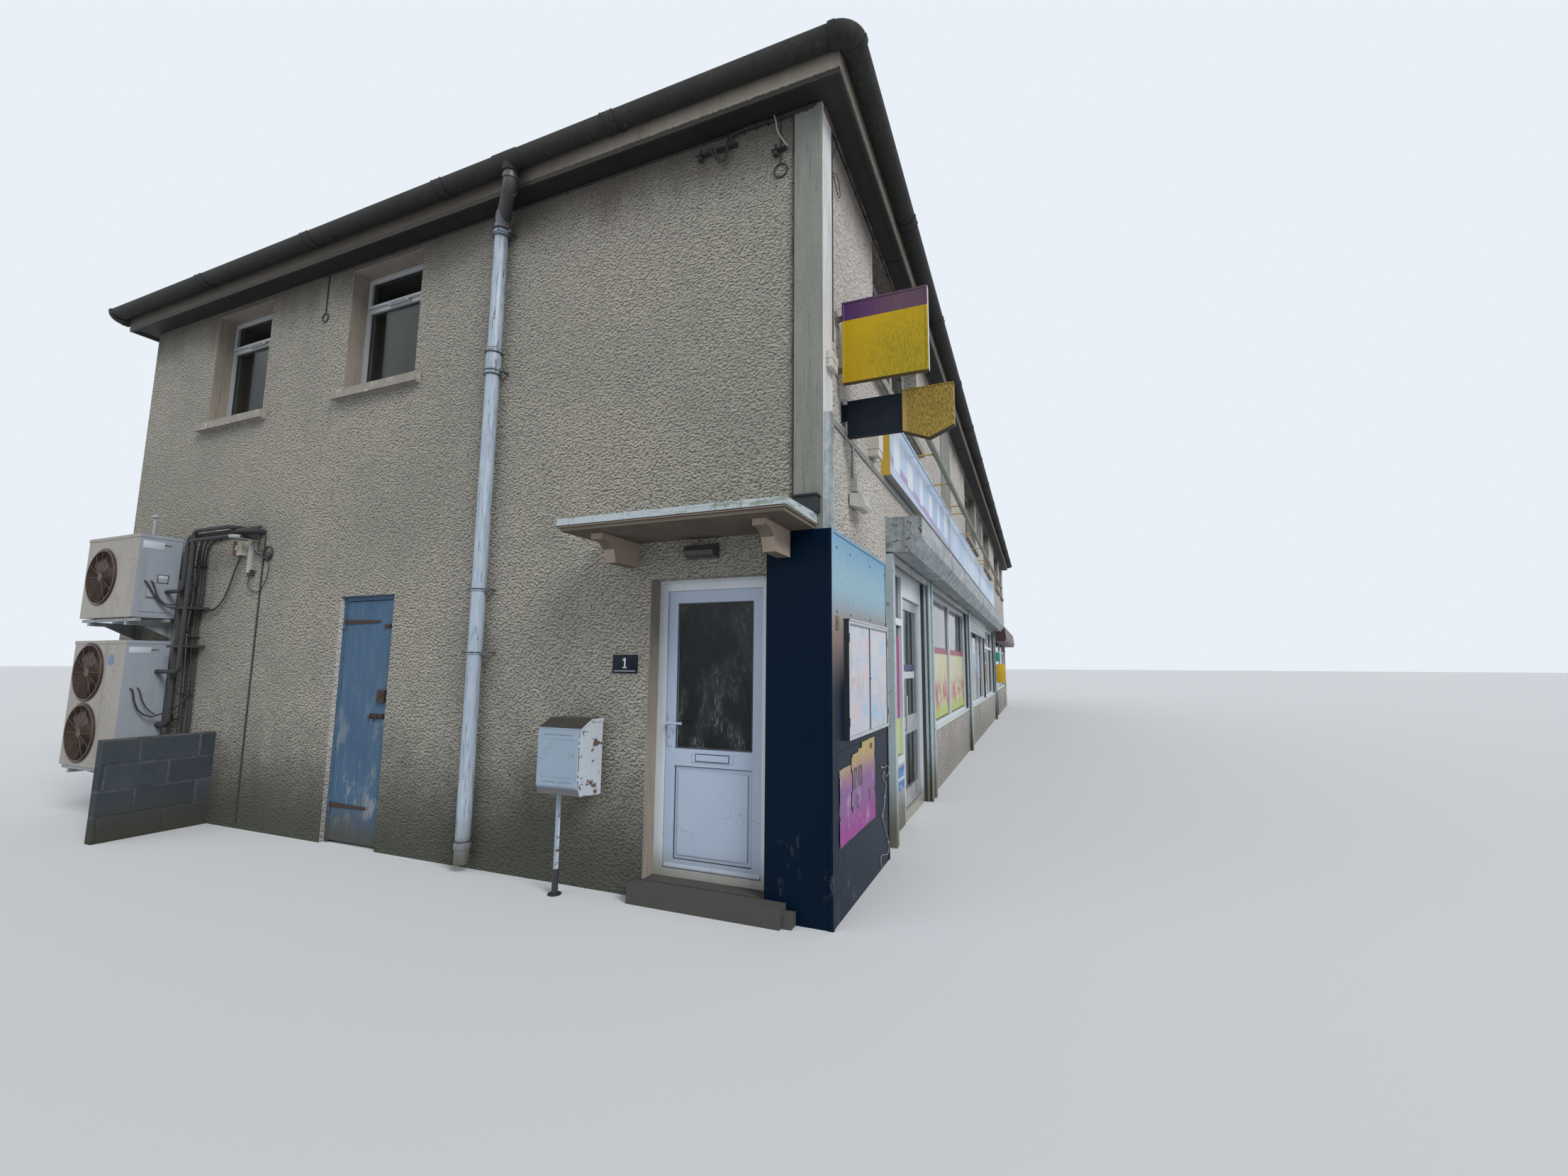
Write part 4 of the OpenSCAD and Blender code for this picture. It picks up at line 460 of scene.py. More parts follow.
def copied(piece, *counts):
    """Array modifiers in turn, each a number of copies and their step, applied."""
    take(piece)
    for count, step in counts:
        rows = piece.modifiers.new("rows", "ARRAY")
        rows.count = count
        rows.use_relative_offset = False
        rows.use_constant_offset = True
        rows.constant_offset_displace = step
        bpy.ops.object.modifier_apply(modifier=rows.name)


roof_tile = skin = Finish("roof_tile", 0.88, specular=0.25)
own = skin.node("NewGeometry", "Random Per Island")
skin.base(own, (0.095, 0.06, 0.045), (0.165, 0.098, 0.07))
skin.coat(span(skin.noise(1.3, 5), 0.42, 0.68), (0.105, 0.095, 0.085))
skin.coat(skin.specks(22, 0.45), (0.25, 0.25, 0.21))
skin.coat(skin.specks(9, 0.5), (0.07, 0.085, 0.035))
skin.relief(skin.noise(110, 4, 0.7), 0.003)
dress(skin, "hip_roof")

pitch = math.radians(32)
roof_out, roof_foot = (0.245, 5.841)
half_deep = block_deep / 2 + roof_out
tile_wide, tile_gauge, tile_long = (0.3, 0.325, 0.405)
tile_thick, roll_high, roll_start, tail_lift = (0.013, 0.017, 0.45, 0.02)

# One tile: a concrete plank with two rolls, its tail lifted onto the course below.
bare()
bpy.ops.mesh.primitive_grid_add(x_subdivisions=12, y_subdivisions=1, size=1)
tile = bpy.context.object
tile.scale = (tile_wide * 1.03, tile_long, 1)
settle(tile, 0)
opened()
bpy.ops.mesh.extrude_region_move(TRANSFORM_OT_translate={"value": (0, 0, tile_thick)})
closed()
for point in tile.data.vertices:
    across = (point.co.x / tile_wide + 0.5) * 2 % 1
    if across > roll_start:
        roll = math.sin(math.pi * (across - roll_start) / (1 - roll_start))
        point.co.z += roll_high * max(0, roll)
    point.co.z += tail_lift * (0.5 - point.co.y / tile_long)
    point.co.x += tile_wide / 2
    point.co.y += tile_long / 2

for name, long, turn, start in [("street_slope_tiles", block_long, 0, (-roof_out, -roof_out)),
                                ("yard_slope_tiles", block_long, 180,
                                 (block_long + roof_out, block_deep + roof_out)),
                                ("near_hip_tiles", block_deep, 270,
                                 (-roof_out, block_deep + roof_out)),
                                ("far_hip_tiles", block_deep, 90,
                                 (block_long + roof_out, -roof_out))]:
    eaves = long + 2 * roof_out
    columns = math.ceil(eaves / tile_wide)
    courses = math.ceil(half_deep / math.cos(pitch) / tile_gauge)
    slope = again(tile, (0, -0.03, 0.003))
    settle(slope, 0)
    copied(slope, (columns, (eaves / columns, 0, 0)), (courses, (0, tile_gauge, 0)))
    slope.rotation_euler = (pitch, 0, 0)
    settle(slope, 0)
    opened()
    for at, way in [((0, 0, 0), (-1, 1, 0)), ((eaves, 0, 0), (1, 1, 0)),
                    ((0, half_deep, 0), (0, 1, 0))]:
        bpy.ops.mesh.select_all(action="SELECT")
        bpy.ops.mesh.bisect(plane_co=at, plane_no=way, use_fill=True, clear_outer=True)
    closed()
    slope.rotation_euler = (0, 0, math.radians(turn))
    slope.location = spot(*start, roof_foot)
    whole(name, [slope], roof_tile, smooth=25)
bpy.data.objects.remove(tile)

# Ridge and hip tiles: half-round concrete tiles, butted end to end and bedded on a fillet
# of mortar.
mortar = skin = Finish("bedding_mortar", 0.9, specular=0.2)
skin.base(skin.specks(18, 0.6), (0.3, 0.29, 0.26), (0.09, 0.1, 0.06))
skin.relief(skin.noise(90), 0.003)


def capping(name, start, end, radius, drop):
    """Half-round tiles along a line, 450 mm each, with mortar between them."""
    line = Vector(end) - Vector(start)
    count = round(line.length / 0.45)
    step = line.length / count
    bare()
    bpy.ops.mesh.primitive_cylinder_add(vertices=24, radius=radius, depth=step - 0.012,
                                        location=(0, 0, step / 2))
    cap = settle(bpy.context.object, 0)
    opened()
    bpy.ops.mesh.bisect(plane_co=(-0.3 * radius, 0, 0), plane_no=(1, 0, 0), use_fill=True,
                        clear_inner=True)
    closed()
    joint = rod((0, 0, 0), (0, 0, line.length), radius - 0.004, 24)
    copied(cap, (count, (0, 0, step)))
    for made, label, finish_on in ((cap, name, roof_tile), (joint, name + "_bedding", mortar)):
        made.rotation_mode = "QUATERNION"
        side = line.cross(Vector((0, 0, 1))).normalized()
        upward = side.cross(line).normalized()
        along = line.normalized()
        made.matrix_world = Matrix((upward, along.cross(upward), along)).transposed().to_4x4()
        made.location = Vector(spot(*start)) - upward * drop
        whole(label, [made], finish_on)


ridge = roof_foot + half_deep * math.tan(pitch)
capping("ridge_tiles", (half_deep - roof_out - 0.05, block_deep / 2, ridge),
        (block_long - half_deep + roof_out + 0.05, block_deep / 2, ridge), radius=0.1145,
        drop=0.029)
for name, x, y, way in [("near_street_hip_tiles", 0, 0, (1, 1)),
                        ("near_yard_hip_tiles", 0, 1, (1, -1)),
                        ("far_street_hip_tiles", 1, 0, (-1, 1)),
                        ("far_yard_hip_tiles", 1, 1, (-1, -1))]:
    foot = Vector((x * block_long + (2 * x - 1) * roof_out,
                   y * block_deep + (2 * y - 1) * roof_out, roof_foot))
    rise = Vector((way[0] * half_deep, way[1] * half_deep, ridge - roof_foot))
    capping(name, foot + rise * 0.02, foot + rise * 0.992, radius=0.102, drop=0.024)

# Eaves: a painted softwood fascia and boxed soffit with cover strips over the joints, the
# cream paint dirty and mossy along the lower bead; the boarding beneath is painted near black
# as shade, and the fascia painted darker towards the yard end as shade.
skin = Finish("eaves_paint", 0.62)
grain = skin.noise((3, 3, 60), 5)
skin.base(grain, (0.34, 0.3, 0.245), (0.52, 0.47, 0.395))
skin.coat(skin.rain(7, 0.6), (0.15, 0.135, 0.1))
mould = skin.noise(38, 7, 0.75)
rot = span(skin.z, 5.675, 5.61) + mould * 1.1
skin.coat(span(rot, 0.95, 1.25), (0.045, 0.042, 0.034))
shaded = mix(skin.noise(5, 5), (0.007, 0.006, 0.007), (0.02, 0.018, 0.018))
# The fascia is painted darker towards the yard end: painted shade.
shade_toward_yard = span(skin.y, corner[1] + 0.5, corner[1] + 3.5, 0, 0.85)
skin.coat(shade_toward_yard, mix(grain, (0.042, 0.036, 0.031), (0.115, 0.099, 0.082)))
# The downward faces, the soffit boarding, are painted near black: painted shade.
skin.coat(skin.facing("Z") < -0.6, shaded)
skin.relief(grain, 0.0015)
dress(skin, "eaves_boards")

# Gutter: heavy half-round asbestos cement on rise-and-fall brackets, black and darker
# towards the bottom, weathered lighter above except on the street run, kept black there as
# painted shade, furred with moss and lichen along the rim; bolts draw the collars together.
skin = Finish("gutter_skin", 0.8, specular=0.35)
# Lighter weathering and moss on the upper part, held back on the street run, which is kept black
# as painted shade.
weathering_and_street_shade = span(skin.z, 5.69, 5.75) * span(skin.y, corner[1] - 0.22, corner[1] - 0.05, 0.12, 1)
skin.base(skin.noise(5, 6, 0.65), (0.011, 0.011, 0.012), (0.028, 0.027, 0.026))
skin.coat(weathering_and_street_shade * 0.8, mix(skin.noise(3, 6, 0.7), (0.022, 0.022, 0.024), (0.068, 0.064, 0.06)))
skin.coat(skin.rain(26, 0.9), (0.04, 0.04, 0.034))
skin.coat(weathering_and_street_shade * skin.specks(26, 0.5), (0.052, 0.058, 0.036))
rim = span(skin.z, 5.76, 5.792) + skin.noise(9, 5) * 0.8
skin.coat(span(rim, 1.15, 1.5, 0, 0.8), (0.1, 0.115, 0.045))
skin.relief(skin.noise(40, 5, 0.6), 0.002)
dress(skin, "gutter")

# Downpipe: a thick old pipe in painted lengths with sockets, held off the wall by clips and
# one iron strap; grey paint tinted blue as painted shade, streaked and rusty at the joints.
skin = Finish("pipe_paint", 0.45)
# Grey paint tinted blue: painted shade under blue sky light.
skin.base(skin.noise(4, 5), (0.27, 0.33, 0.41), (0.4, 0.465, 0.54))
worn_runs = skin.noise((70, 70, 4), 6, 0.7)
skin.coat(span(worn_runs, 0.53, 0.62, 0, 0.7), (0.115, 0.15, 0.185))
skin.coat(span(worn_runs, 0.44, 0.36, 0, 0.6), (0.52, 0.565, 0.6))
flakes = skin.noise((22, 22, 2.6), 7, 0.7)
high_up = span(skin.z, 2.4, 4.2, 0, 0.045)
flaked = span(flakes + high_up, 0.63, 0.65)
skin.coat(flaked * 0.85, (0.045, 0.048, 0.055))
skin.coat(skin.rain(24, 0.35), (0.2, 0.19, 0.165))
skin.coat(skin.specks(40, 0.25), (0.12, 0.085, 0.055))
skin.coat(span(skin.z, 5.3, 5.42, 0, 0.75), (0.15, 0.148, 0.145))
pipe_y = 2.93
off_centre = abs(skin.y - (corner[1] + pipe_y))
skin.coat(span(off_centre, 0.072, 0.078, 0, 0.85), (0.04, 0.036, 0.036))
skin.coat(skin.splash(0.15, 0.5), (0.08, 0.08, 0.06))
skin.relief(skin.noise(60, 5), 0.0012)
dress(skin, "downpipe")

# Joint rings and bolts: black paint over iron, rust bleeding through; they close the
# downpipe's sockets, hold its clips and draw the gutter's collars together.
black_iron = skin = Finish("black_iron", 0.55, metallic=0.2)
skin.base(span(skin.noise(30, 6, 0.7), 0.45, 0.62), (0.028, 0.028, 0.03), (0.115, 0.06, 0.032))
skin.relief(skin.noise(120), 0.001)

rings = []
for z, radius in [(5.374, 0.0665), (5.305, 0.0665), (4.262, 0.0645), (4.23, 0.069), (4.07, 0.067),
                  (4.038, 0.0645), (2.2, 0.067), (1.687, 0.067), (0.232, 0.0645)]:
    bare()
    bpy.ops.mesh.primitive_torus_add(major_segments=40, minor_segments=6, major_radius=radius,
                                     minor_radius=0.005, location=spot(-0.082, pipe_y, z))
    rings.append(settle(bpy.context.object, 0))
whole("downpipe_joint_rings", rings, black_iron)

clips = []
for z, ear in [(5.346, 0.086), (4.07, 0.086), (2.2, 0.086), (1.687, 0.125)]:
    for y in (pipe_y - ear, pipe_y + ear):
        clips.append(pin((-0.034, y, z), (0.004, y, z), 0.006, 8))
        clips.append(pin((-0.036, y, z), (-0.028, y, z), 0.012, 6))
whole("downpipe_bolts", clips, black_iron)

overhang, along_street, along_end = (0.299, 1.967, 1.724)
collars = [(-overhang, along_end * k - 0.3 + 0.05) for k in range(1, 6)]
for k in range(1, 12):
    collars.append((along_street * k + 0.05, -overhang))
    collars.append((along_street * k + 0.05, block_deep + overhang))
collars += [(block_long + overhang, along_end * k - 0.3 + 0.05) for k in range(1, 6)]
bolts = [pin((x, y, 5.686), (x, y, 5.706), 0.009, 6) for x, y in collars]
whole("gutter_bolts", bolts, black_iron)

# Upper windows: white plastic casements with mitred sashes, black gaskets round each pane,
# set back in smooth reveals; the white is tinted blue and, on the upper floor, darker as
# painted shade, and gathers green dirt at the foot.
upvc = skin = Finish("white_upvc", 0.32)
# White tinted blue, and darker above the ground floor: painted shade.
skin.base(skin.noise(2.5, 5), (0.51, 0.555, 0.605), (0.62, 0.655, 0.69))
skin.coat(span(skin.z, 3, 4, 0, 0.55), (0.2, 0.19, 0.18))
skin.coat(skin.rain(14, 0.25), (0.3, 0.29, 0.26))
skin.coat(skin.specks(30, 0.16), (0.2, 0.2, 0.16))
skin.coat(skin.splash(0.16, 0.35), (0.26, 0.25, 0.2))
skin.relief(skin.noise(12, 2), 0.0004)
dress(upvc, "upper_window_frames")

gasket = skin = Finish("black_gasket", 0.7)
skin.base(skin.noise(25), (0.016, 0.016, 0.017), (0.045, 0.044, 0.04))
skin.relief(skin.noise(90), 0.0005)


def glazing(name, ior):
    """Clear glass with a dull film and a slight waver."""
    skin = Finish(name, 0.03)
    skin.inputs["Transmission Weight"].default_value = 1
    skin.inputs["IOR"].default_value = ior
    skin.base(skin.noise((3, 3, 1), 4), (0.4, 0.44, 0.43), (0.58, 0.62, 0.61))
    skin.relief(skin.noise(1.1, 1), 0.004, 0.02 + skin.noise(6, 6, 0.7) * 0.09)
    return skin


dress(glazing("upper_window_pane", 1.22), "upper_window_glass")


def thickened(piece, deep):
    """Gives a flat sheet its thickness, on the side its faces look to."""
    take(piece)
    wall = piece.modifiers.new("thickness", "SOLIDIFY")
    wall.thickness = deep
    wall.offset = 1
    bpy.ops.object.modifier_apply(modifier=wall.name)
    return piece


def ring(low, high, at, wide, deep):
    """A flat ring inside a rectangle of X and Z, its back at a depth Y, facing -Y."""
    bare()
    bpy.ops.mesh.primitive_plane_add(size=1,
                                     location=((low[0] + high[0]) / 2, at,
                                               (low[1] + high[1]) / 2),
                                     rotation=(math.pi / 2, 0, 0))
    piece = bpy.context.object
    piece.scale = (high[0] - low[0], high[1] - low[1], 1)
    settle(piece, 0)
    opened()
    bpy.ops.mesh.inset(thickness=wide)
    bpy.ops.mesh.delete(type="FACE")
    closed()
    return thickened(piece, deep)


frame_bar, fan_high, seat = (0.06, 0.33, 0.003)
reveal, sill_z, sash_high = (0.16, 4.29, 1.27 - 2 * seat)
window_list = [((x + seat, reveal, sill_z + seat), 0, wide - 2 * seat, sash_high, lights, fan_high)
               for x, wide, lights in [(1.48, 2.25, 3), (9.2, 2.25, 3), (13.7, 2.25, 3),
                                       (18.2, 2.25, 3), (21.4, 1.2, 2)]]
window_list.append(((11.65 + seat, 0.03, 4.81 + seat), 0, 1.7 - 2 * seat, 0.75 - 2 * seat, 3, 0))
end_wide, rear_wide, rear_first, rear_step = (1.01, 1.515, 1.534, 4.484)
for y in (4.01, 6.33):
    window_list.append(((reveal, y + end_wide - seat, sill_z + seat), -90, end_wide - 2 * seat,
                        sash_high, 1, fan_high))
    window_list.append(((block_long - reveal, y + seat, sill_z + seat), 90, end_wide - 2 * seat,
                        sash_high, 1, fan_high))
for i in range(5):
    for z in (1.05, sill_z):
        window_list.append(((rear_first + rear_step * i + rear_wide - seat, block_deep - reveal,
                             z + seat), 180, rear_wide - 2 * seat, sash_high, 2, fan_high))

gaskets, vents, vent_slot_shades = ([], [], [])
for start, turn, wide, high, lights, fan in window_list:
    step = (wide - frame_bar) / lights
    here, airing, black = ([], [], [])
    for i in range(lights):
        left, right = (i * step + frame_bar, (i + 1) * step)
        here.append(ring((left, frame_bar), (right, high - fan - frame_bar), 0.0235, 0.008, 0.005))
        if fan:
            here.append(ring((left + 0.017, high - fan + 0.017),
                             (right - 0.017, high - frame_bar - 0.017), 0.0235, 0.008, 0.006))
            centre = (left + right) / 2
            airing.append(block((centre - 0.15, -0.03, high - fan - 0.04),
                                (centre + 0.15, 0.001, high - fan - 0.016), 0.006))
            # Black strips on the vents' faces stand in for the shaded slot openings: painted
            # shade.
            black.append(block((centre - 0.11, -0.0315, high - fan - 0.031),
                               (centre + 0.11, -0.029, high - fan - 0.025)))
    stand = Matrix.Translation(spot(*start)) @ Matrix.Rotation(math.radians(turn), 4, "Z")
    for made, kept in ((here, gaskets), (airing, vents), (black, vent_slot_shades)):
        for piece in made:
            piece.data.transform(stand)
        kept.extend(made)
whole("upper_window_gaskets", gaskets, gasket, smooth=0)
whole("upper_window_vents", vents, upvc)
whole("upper_window_vent_slot_shades", vent_slot_shades, gasket, smooth=0)

# Sills and step: cast concrete, once painted, worn to the stone along the front edge and
# blackened by damp; the step by the flat's door has lost a corner.
skin = Finish("worn_concrete", 0.9, specular=0.2)
skin.base(skin.noise(6, 6, 0.65), (0.2, 0.185, 0.16), (0.36, 0.335, 0.295))
bare_patch = skin.specks(12, 0.55)
skin.coat(bare_patch * span(skin.z, 3, 4), (0.5, 0.44, 0.37))
skin.coat(skin.specks(34, 0.35), (0.075, 0.075, 0.06))
wet = span(skin.z, 0.6, 0.3) * 0.85
skin.coat(wet, (0.034, 0.037, 0.036))
skin.relief(skin.noise(55, 6, 0.7), 0.004)
dress(skin, "sills_and_step")

# Flat's door: a white plastic frame and leaf with welded mitres, a reeded glass light, a
# flush lower panel and a letter plate; gaskets run black round the glass and the panel.
dress(upvc, "flat_door_frame")
skin = Finish("scuffed_white_door", 0.34)
# White plastic tinted blue: painted shade under blue sky light.
skin.base(skin.noise(2, 4), (0.325, 0.405, 0.53), (0.415, 0.485, 0.59))
kicks = skin.node("TexVoronoi", "Distance", feature="DISTANCE_TO_EDGE", Scale=4.2, Randomness=1,
                  Vector=skin.stretched(1, 1.7, 1))
kicked = span(kicks, 0.012, 0.004) * span(skin.noise(6, 2), 0.5, 0.6)
kicked = kicked * span(skin.z, 0.95, 0.6)
skin.coat(kicked * 0.45, (0.14, 0.14, 0.13))
skin.coat(skin.specks(44, 0.12), (0.2, 0.2, 0.18))
skin.coat(skin.splash(0.15, 0.25), (0.24, 0.235, 0.2))
skin.relief(skin.noise(12, 2), 0.0004)
dress(skin, "flat_door_leaf")

skin = Finish("reeded_glass", 0.1)
skin.inputs["Transmission Weight"].default_value = 0.15
skin.inputs["IOR"].default_value = 1.3
threads = skin.noise((1, 150, 22), 3, 0.5, 0.4)
beyond = skin.noise((1, 5, 2.2), 4, 0.6)
# Near-black stands in for the dark hall seen through the glass, as painted shade; the glints laid
# over it are painted highlights.
skin.base(span(beyond, 0.42, 0.62), (0.006, 0.009, 0.011), (0.024, 0.028, 0.029))
glints = span(threads, 0.54, 0.66) * span(beyond, 0.5, 0.6)
skin.coat(glints * span(skin.z, 1.75, 1.15, 0.25, 0.75), (0.19, 0.23, 0.22))
skin.relief(threads, 0.003)
dress(skin, "flat_door_glass")


def sideways(pieces):
    """Turns pieces drawn on X and Z onto the end wall: X becomes Y, -Y becomes -X."""
    turn = Matrix(((0, 1, 0, 0), (1, 0, 0, 0), (0, 0, 1, 0), (0, 0, 0, 1)))
    for piece in pieces:
        piece.data.transform(turn)
        piece.data.flip_normals()
    return pieces


def placed(pieces):
    """Moves pieces drawn from the street corner to the part's frame."""
    for piece in pieces:
        piece.data.transform(Matrix.Translation(spot(0, 0, 0)))
    return pieces


seals = [ring((0.559, 1.004), (1.166, 2.046), 0.146, 0.008, 0.004),
         ring((0.555, 0.239), (1.17, 0.881), 0.152, 0.006, 0.004),
         ring((0.727, 0.917), (0.998, 0.973), 0.132, 0.005, 0.0015)]
whole("flat_door_gaskets", placed(sideways(seals)), gasket, "flat_door", smooth=0)

skin = Finish("brushed_steel", 0.34, metallic=1)
skin.base(skin.noise((8, 8, 90), 4), (0.5, 0.5, 0.5), (0.68, 0.68, 0.67))
skin.relief(skin.noise(130), 0.0003)
screws = [pin((0.1275, 1.21, z), (0.131, 1.21, z), 0.005, 12) for z in (1.028, 1.244)]
whole("flat_door_handle_screws", screws, skin, "flat_door")
keyhole = pin((0.1225, 1.21, 1.085), (0.126, 1.21, 1.085), 0.004, 12)
whole("flat_door_keyhole", [keyhole], gasket, "flat_door")

# Canopy: a thin cast slab over a painted board on two shaped corbels, its edge chipped and
# green, its downward faces coloured darker brown, paint gone from the corbels' faces.
skin = Finish("canopy_skin", 0.85, specular=0.25)
skin.base(skin.noise(4, 6, 0.65), (0.33, 0.385, 0.42), (0.54, 0.6, 0.62))
greened = (span(skin.noise((6, 6, 30), 6, 0.7), 0.48, 0.6)
           * span(skin.y, corner[1] + 1.1, corner[1] + 0.5, 0.15, 0.85))
skin.coat(greened, (0.22, 0.265, 0.19))
dirty_run = skin.noise((60, 60, 3), 5, 0.7)
skin.coat(span(dirty_run, 0.58, 0.68, 0, 0.6), (0.1, 0.11, 0.1))
skin.coat(span(skin.z, 2.5265, 2.5225, 0, 1), (0.03, 0.026, 0.022))
edge_board = mix(skin.noise((3, 3, 60), 4), (0.155, 0.125, 0.095), (0.3, 0.255, 0.2))
skin.coat(span(skin.z, 2.519, 2.515, 0, 1), edge_board)
skin.coat(skin.specks(24, 0.45), (0.12, 0.12, 0.095))
mossy = span(skin.facing("Z"), 0.3, 0.8) * span(skin.noise(6, 6), 0.42, 0.6)
skin.coat(mossy * 0.7, (0.1, 0.105, 0.05))
corbel = mix(skin.specks(15, 0.42), (0.38, 0.305, 0.25), (0.19, 0.15, 0.12))
skin.coat(skin.z < 2.489, corbel)
# The downward faces are coloured darker brown.
below = (skin.facing("Z") < -0.6) * span(skin.noise(5, 5), 0.2, 0.7, 0.95, 0.7)
skin.coat(below, (0.085, 0.066, 0.05))
skin.relief(skin.noise(60, 6, 0.7), 0.004)
dress(skin, "door_canopy")

# Store door: ledged boards under thick blue paint that has faded, scuffed to grey at the
# foot and crazed along the grain; black iron straps, bolt and lock, all rusted.
skin = Finish("blue_boards", 0.7, specular=0.3)
grain = skin.noise((60, 60, 3), 5, 0.65)
skin.base(skin.noise(3, 5), (0.035, 0.083, 0.15), (0.068, 0.132, 0.213))
skin.coat(span(grain, 0.56, 0.7, 0, 0.6), (0.17, 0.2, 0.225))
skin.coat(span(grain, 0.36, 0.3, 0, 0.8), (0.02, 0.032, 0.048))
scuffed = span(skin.noise((7, 7, 3.5), 7, 0.7), 0.5, 0.6) * span(skin.z, 1.7, 0.3, 0, 0.8)
skin.coat(scuffed, (0.23, 0.25, 0.255))
skin.coat(skin.splash(0.1, 0.5), (0.06, 0.063, 0.055))
skin.relief(grain, 0.002)
dress(skin, "store_door_frame", "store_door_leaf")

skin = Finish("rusted_iron", 0.8, metallic=0.15)
skin.base(skin.noise(26, 6, 0.7), (0.02, 0.017, 0.017), (0.07, 0.038, 0.024))
skin.coat(skin.specks(60, 0.4), (0.03, 0.03, 0.032))
skin.relief(skin.noise(140, 5), 0.002)
dress(skin, "store_door_ironwork")

# Shop front: pale plastic frames between the shutter guides, with an aluminium door under
# a pull handle, dark sills, and printed films and papers stuck inside the glass.
dress(upvc, "shop_front_frames")
skin = Finish("door_aluminium", 0.38, metallic=0.85)
brushed = skin.noise((12, 12, 120), 4)
skin.base(brushed, (0.4, 0.42, 0.44), (0.56, 0.57, 0.58))
skin.coat(skin.specks(35, 0.3), (0.22, 0.22, 0.21))
skin.relief(brushed, 0.0004, span(skin.noise(5, 5), 0.3, 0.7, 0.28, 0.5))
dress(skin, "shop_door_leaf")
dress(glazing("window_pane", 1.5), "shop_front_glass", "shop_door_glass")

# Printed film stuck inside the shop's glass: a strip of deep red over warm blurred shapes,
# yellow green at the foot.
skin = Finish("window_film", 0.4)
blots = skin.noise((3.68, 2.3, 2.3), 3, 0.5, 1.2)
pale = mix(span(skin.noise(1.7, 3), 0.35, 0.65), (0.5, 0.47, 0.27), (0.47, 0.5, 0.38))
skin.base(span(skin.noise(4.1, 4, 0.6, 0.8), 0.52, 0.62, 0, 0.6), pale, (0.55, 0.34, 0.14))
lower_half = span(skin.z + blots * 0.5, 1.75, 1.55)
figures = span(blots, 0.49, 0.55) * lower_half
skin.coat(figures * 0.85, (0.4, 0.065, 0.05))
shaded = span(skin.noise((7.8, 3, 4.2), 3, 0.6, 1), 0.56, 0.62)
skin.coat(shaded * lower_half * 0.7, (0.11, 0.075, 0.07))
skin.coat(span(skin.z, 1.14, 0.86), (0.38, 0.46, 0.07))
skin.coat(span(skin.z, 1.76, 1.78), (0.24, 0.035, 0.075))
skin.relief(skin.noise(30), 0.0004)


def paper(left, right, foot, head):
    """A thin sheet stuck on the shop window."""
    glass_face = 0.074
    return slab((left, glass_face - 0.0012, foot), (right, glass_face - 0.0003, head))


films = [paper(left, right, 0.86, 1.86) for left, right in [(4.317, 6.458), (6.559, 8.64)]]
whole("window_films", films, skin, smooth=0)

# Papers stuck inside the side light: a purple and pink strip over yellow, and a pale card
# above it.
skin = Finish("side_light_papers", 0.45)
skin.base(span(skin.x, corner[0] + 2.33, corner[0] + 2.36), (0.62, 0.5, 0.52), (0.3, 0.03, 0.16))
skin.coat(span(skin.z, 1.07, 1.05), (0.5, 0.55, 0.1))
skin.coat(skin.specks(9, 0.35), (0.72, 0.7, 0.7))
skin.relief(skin.noise(30), 0.0004)
papers = [paper(2.022, 2.715, 0.7, 1.9), paper(2.1, 2.62, 2.14, 2.46)]
whole("side_light_papers", papers, skin, smooth=0)

# Black boards line the openings between the shutter guides, standing in for the shaded
# gaps there as painted shade; a painted panel covers the low wall beside the doorway.
gap, board = (0.0004, 0.0035)
gap_shade_boards = [slab((x - board, 0.0006, 0), (x - gap, 0.0392, 2.59)) for x in (3.89, 8.73, 13.01)]
gap_shade_boards += [slab((x + gap, 0.0006, 0), (x + board, 0.0392, 2.59)) for x in (4.23, 8.91, 13.1)]
gap_shade_boards.insert(0, slab((1.94 + gap, 0.0006, 0), (1.94 + board, 0.0392, 2.59)))
whole("opening_gap_shade_boards", gap_shade_boards, gasket, smooth=0)
skin = Finish("worn_panel", 0.55)
skin.base(skin.noise(7, 6, 0.7), (0.3, 0.32, 0.31), (0.5, 0.52, 0.52))
skin.coat(skin.specks(18, 0.5), (0.17, 0.16, 0.12))
skin.coat(skin.splash(0.2, 0.7), (0.1, 0.095, 0.06))
skin.relief(skin.noise(40, 5), 0.001)
side_panel = slab((1.944, 0.0345, 0), (2.716, 0.0396, 0.616), 0.001)
whole("doorway_side_panel", [side_panel], skin)

# Blue card on the lower panel beside the doorway, cards on the door's glass and small
# cards inside the third bay.
skin = Finish("blue_card", 0.35)
banded = maths("MAXIMUM", span(skin.noise(14, 2, 0.5, 0.6), 0.6, 0.66, 0, 0.5),
               span(skin.z, 0.462, 0.466) * span(skin.z, 0.498, 0.494))
skin.base(skin.x > corner[0] + 9, (0.02, 0.125, 0.36), (0.15, 0.215, 0.31))
skin.coat(banded, (0.46, 0.56, 0.66))
skin.relief(skin.noise(30), 0.0003)
cards = [slab((2.42, 0.0325, 0.37), (2.69, 0.0343, 0.6))]
cards += [paper(9.4 + 0.62 * k, 9.8 + 0.62 * k, 1.3 + 0.17 * (k % 2), 1.86 + 0.1 * (k % 2))
          for k in range(5)]
whole("shop_front_cards", cards, skin, smooth=0)
skin = Finish("door_cards", 0.4)
skin.base(skin.z > 1.538, (0.5, 0.53, 0.56), (0.02, 0.03, 0.11))
skin.relief(skin.noise(30), 0.0003)
cards = [slab((2.96, 0.0872, 1.455), (3.63, 0.0884, 1.53)),
         slab((2.96, 0.0872, 1.545), (3.63, 0.0884, 1.61))]
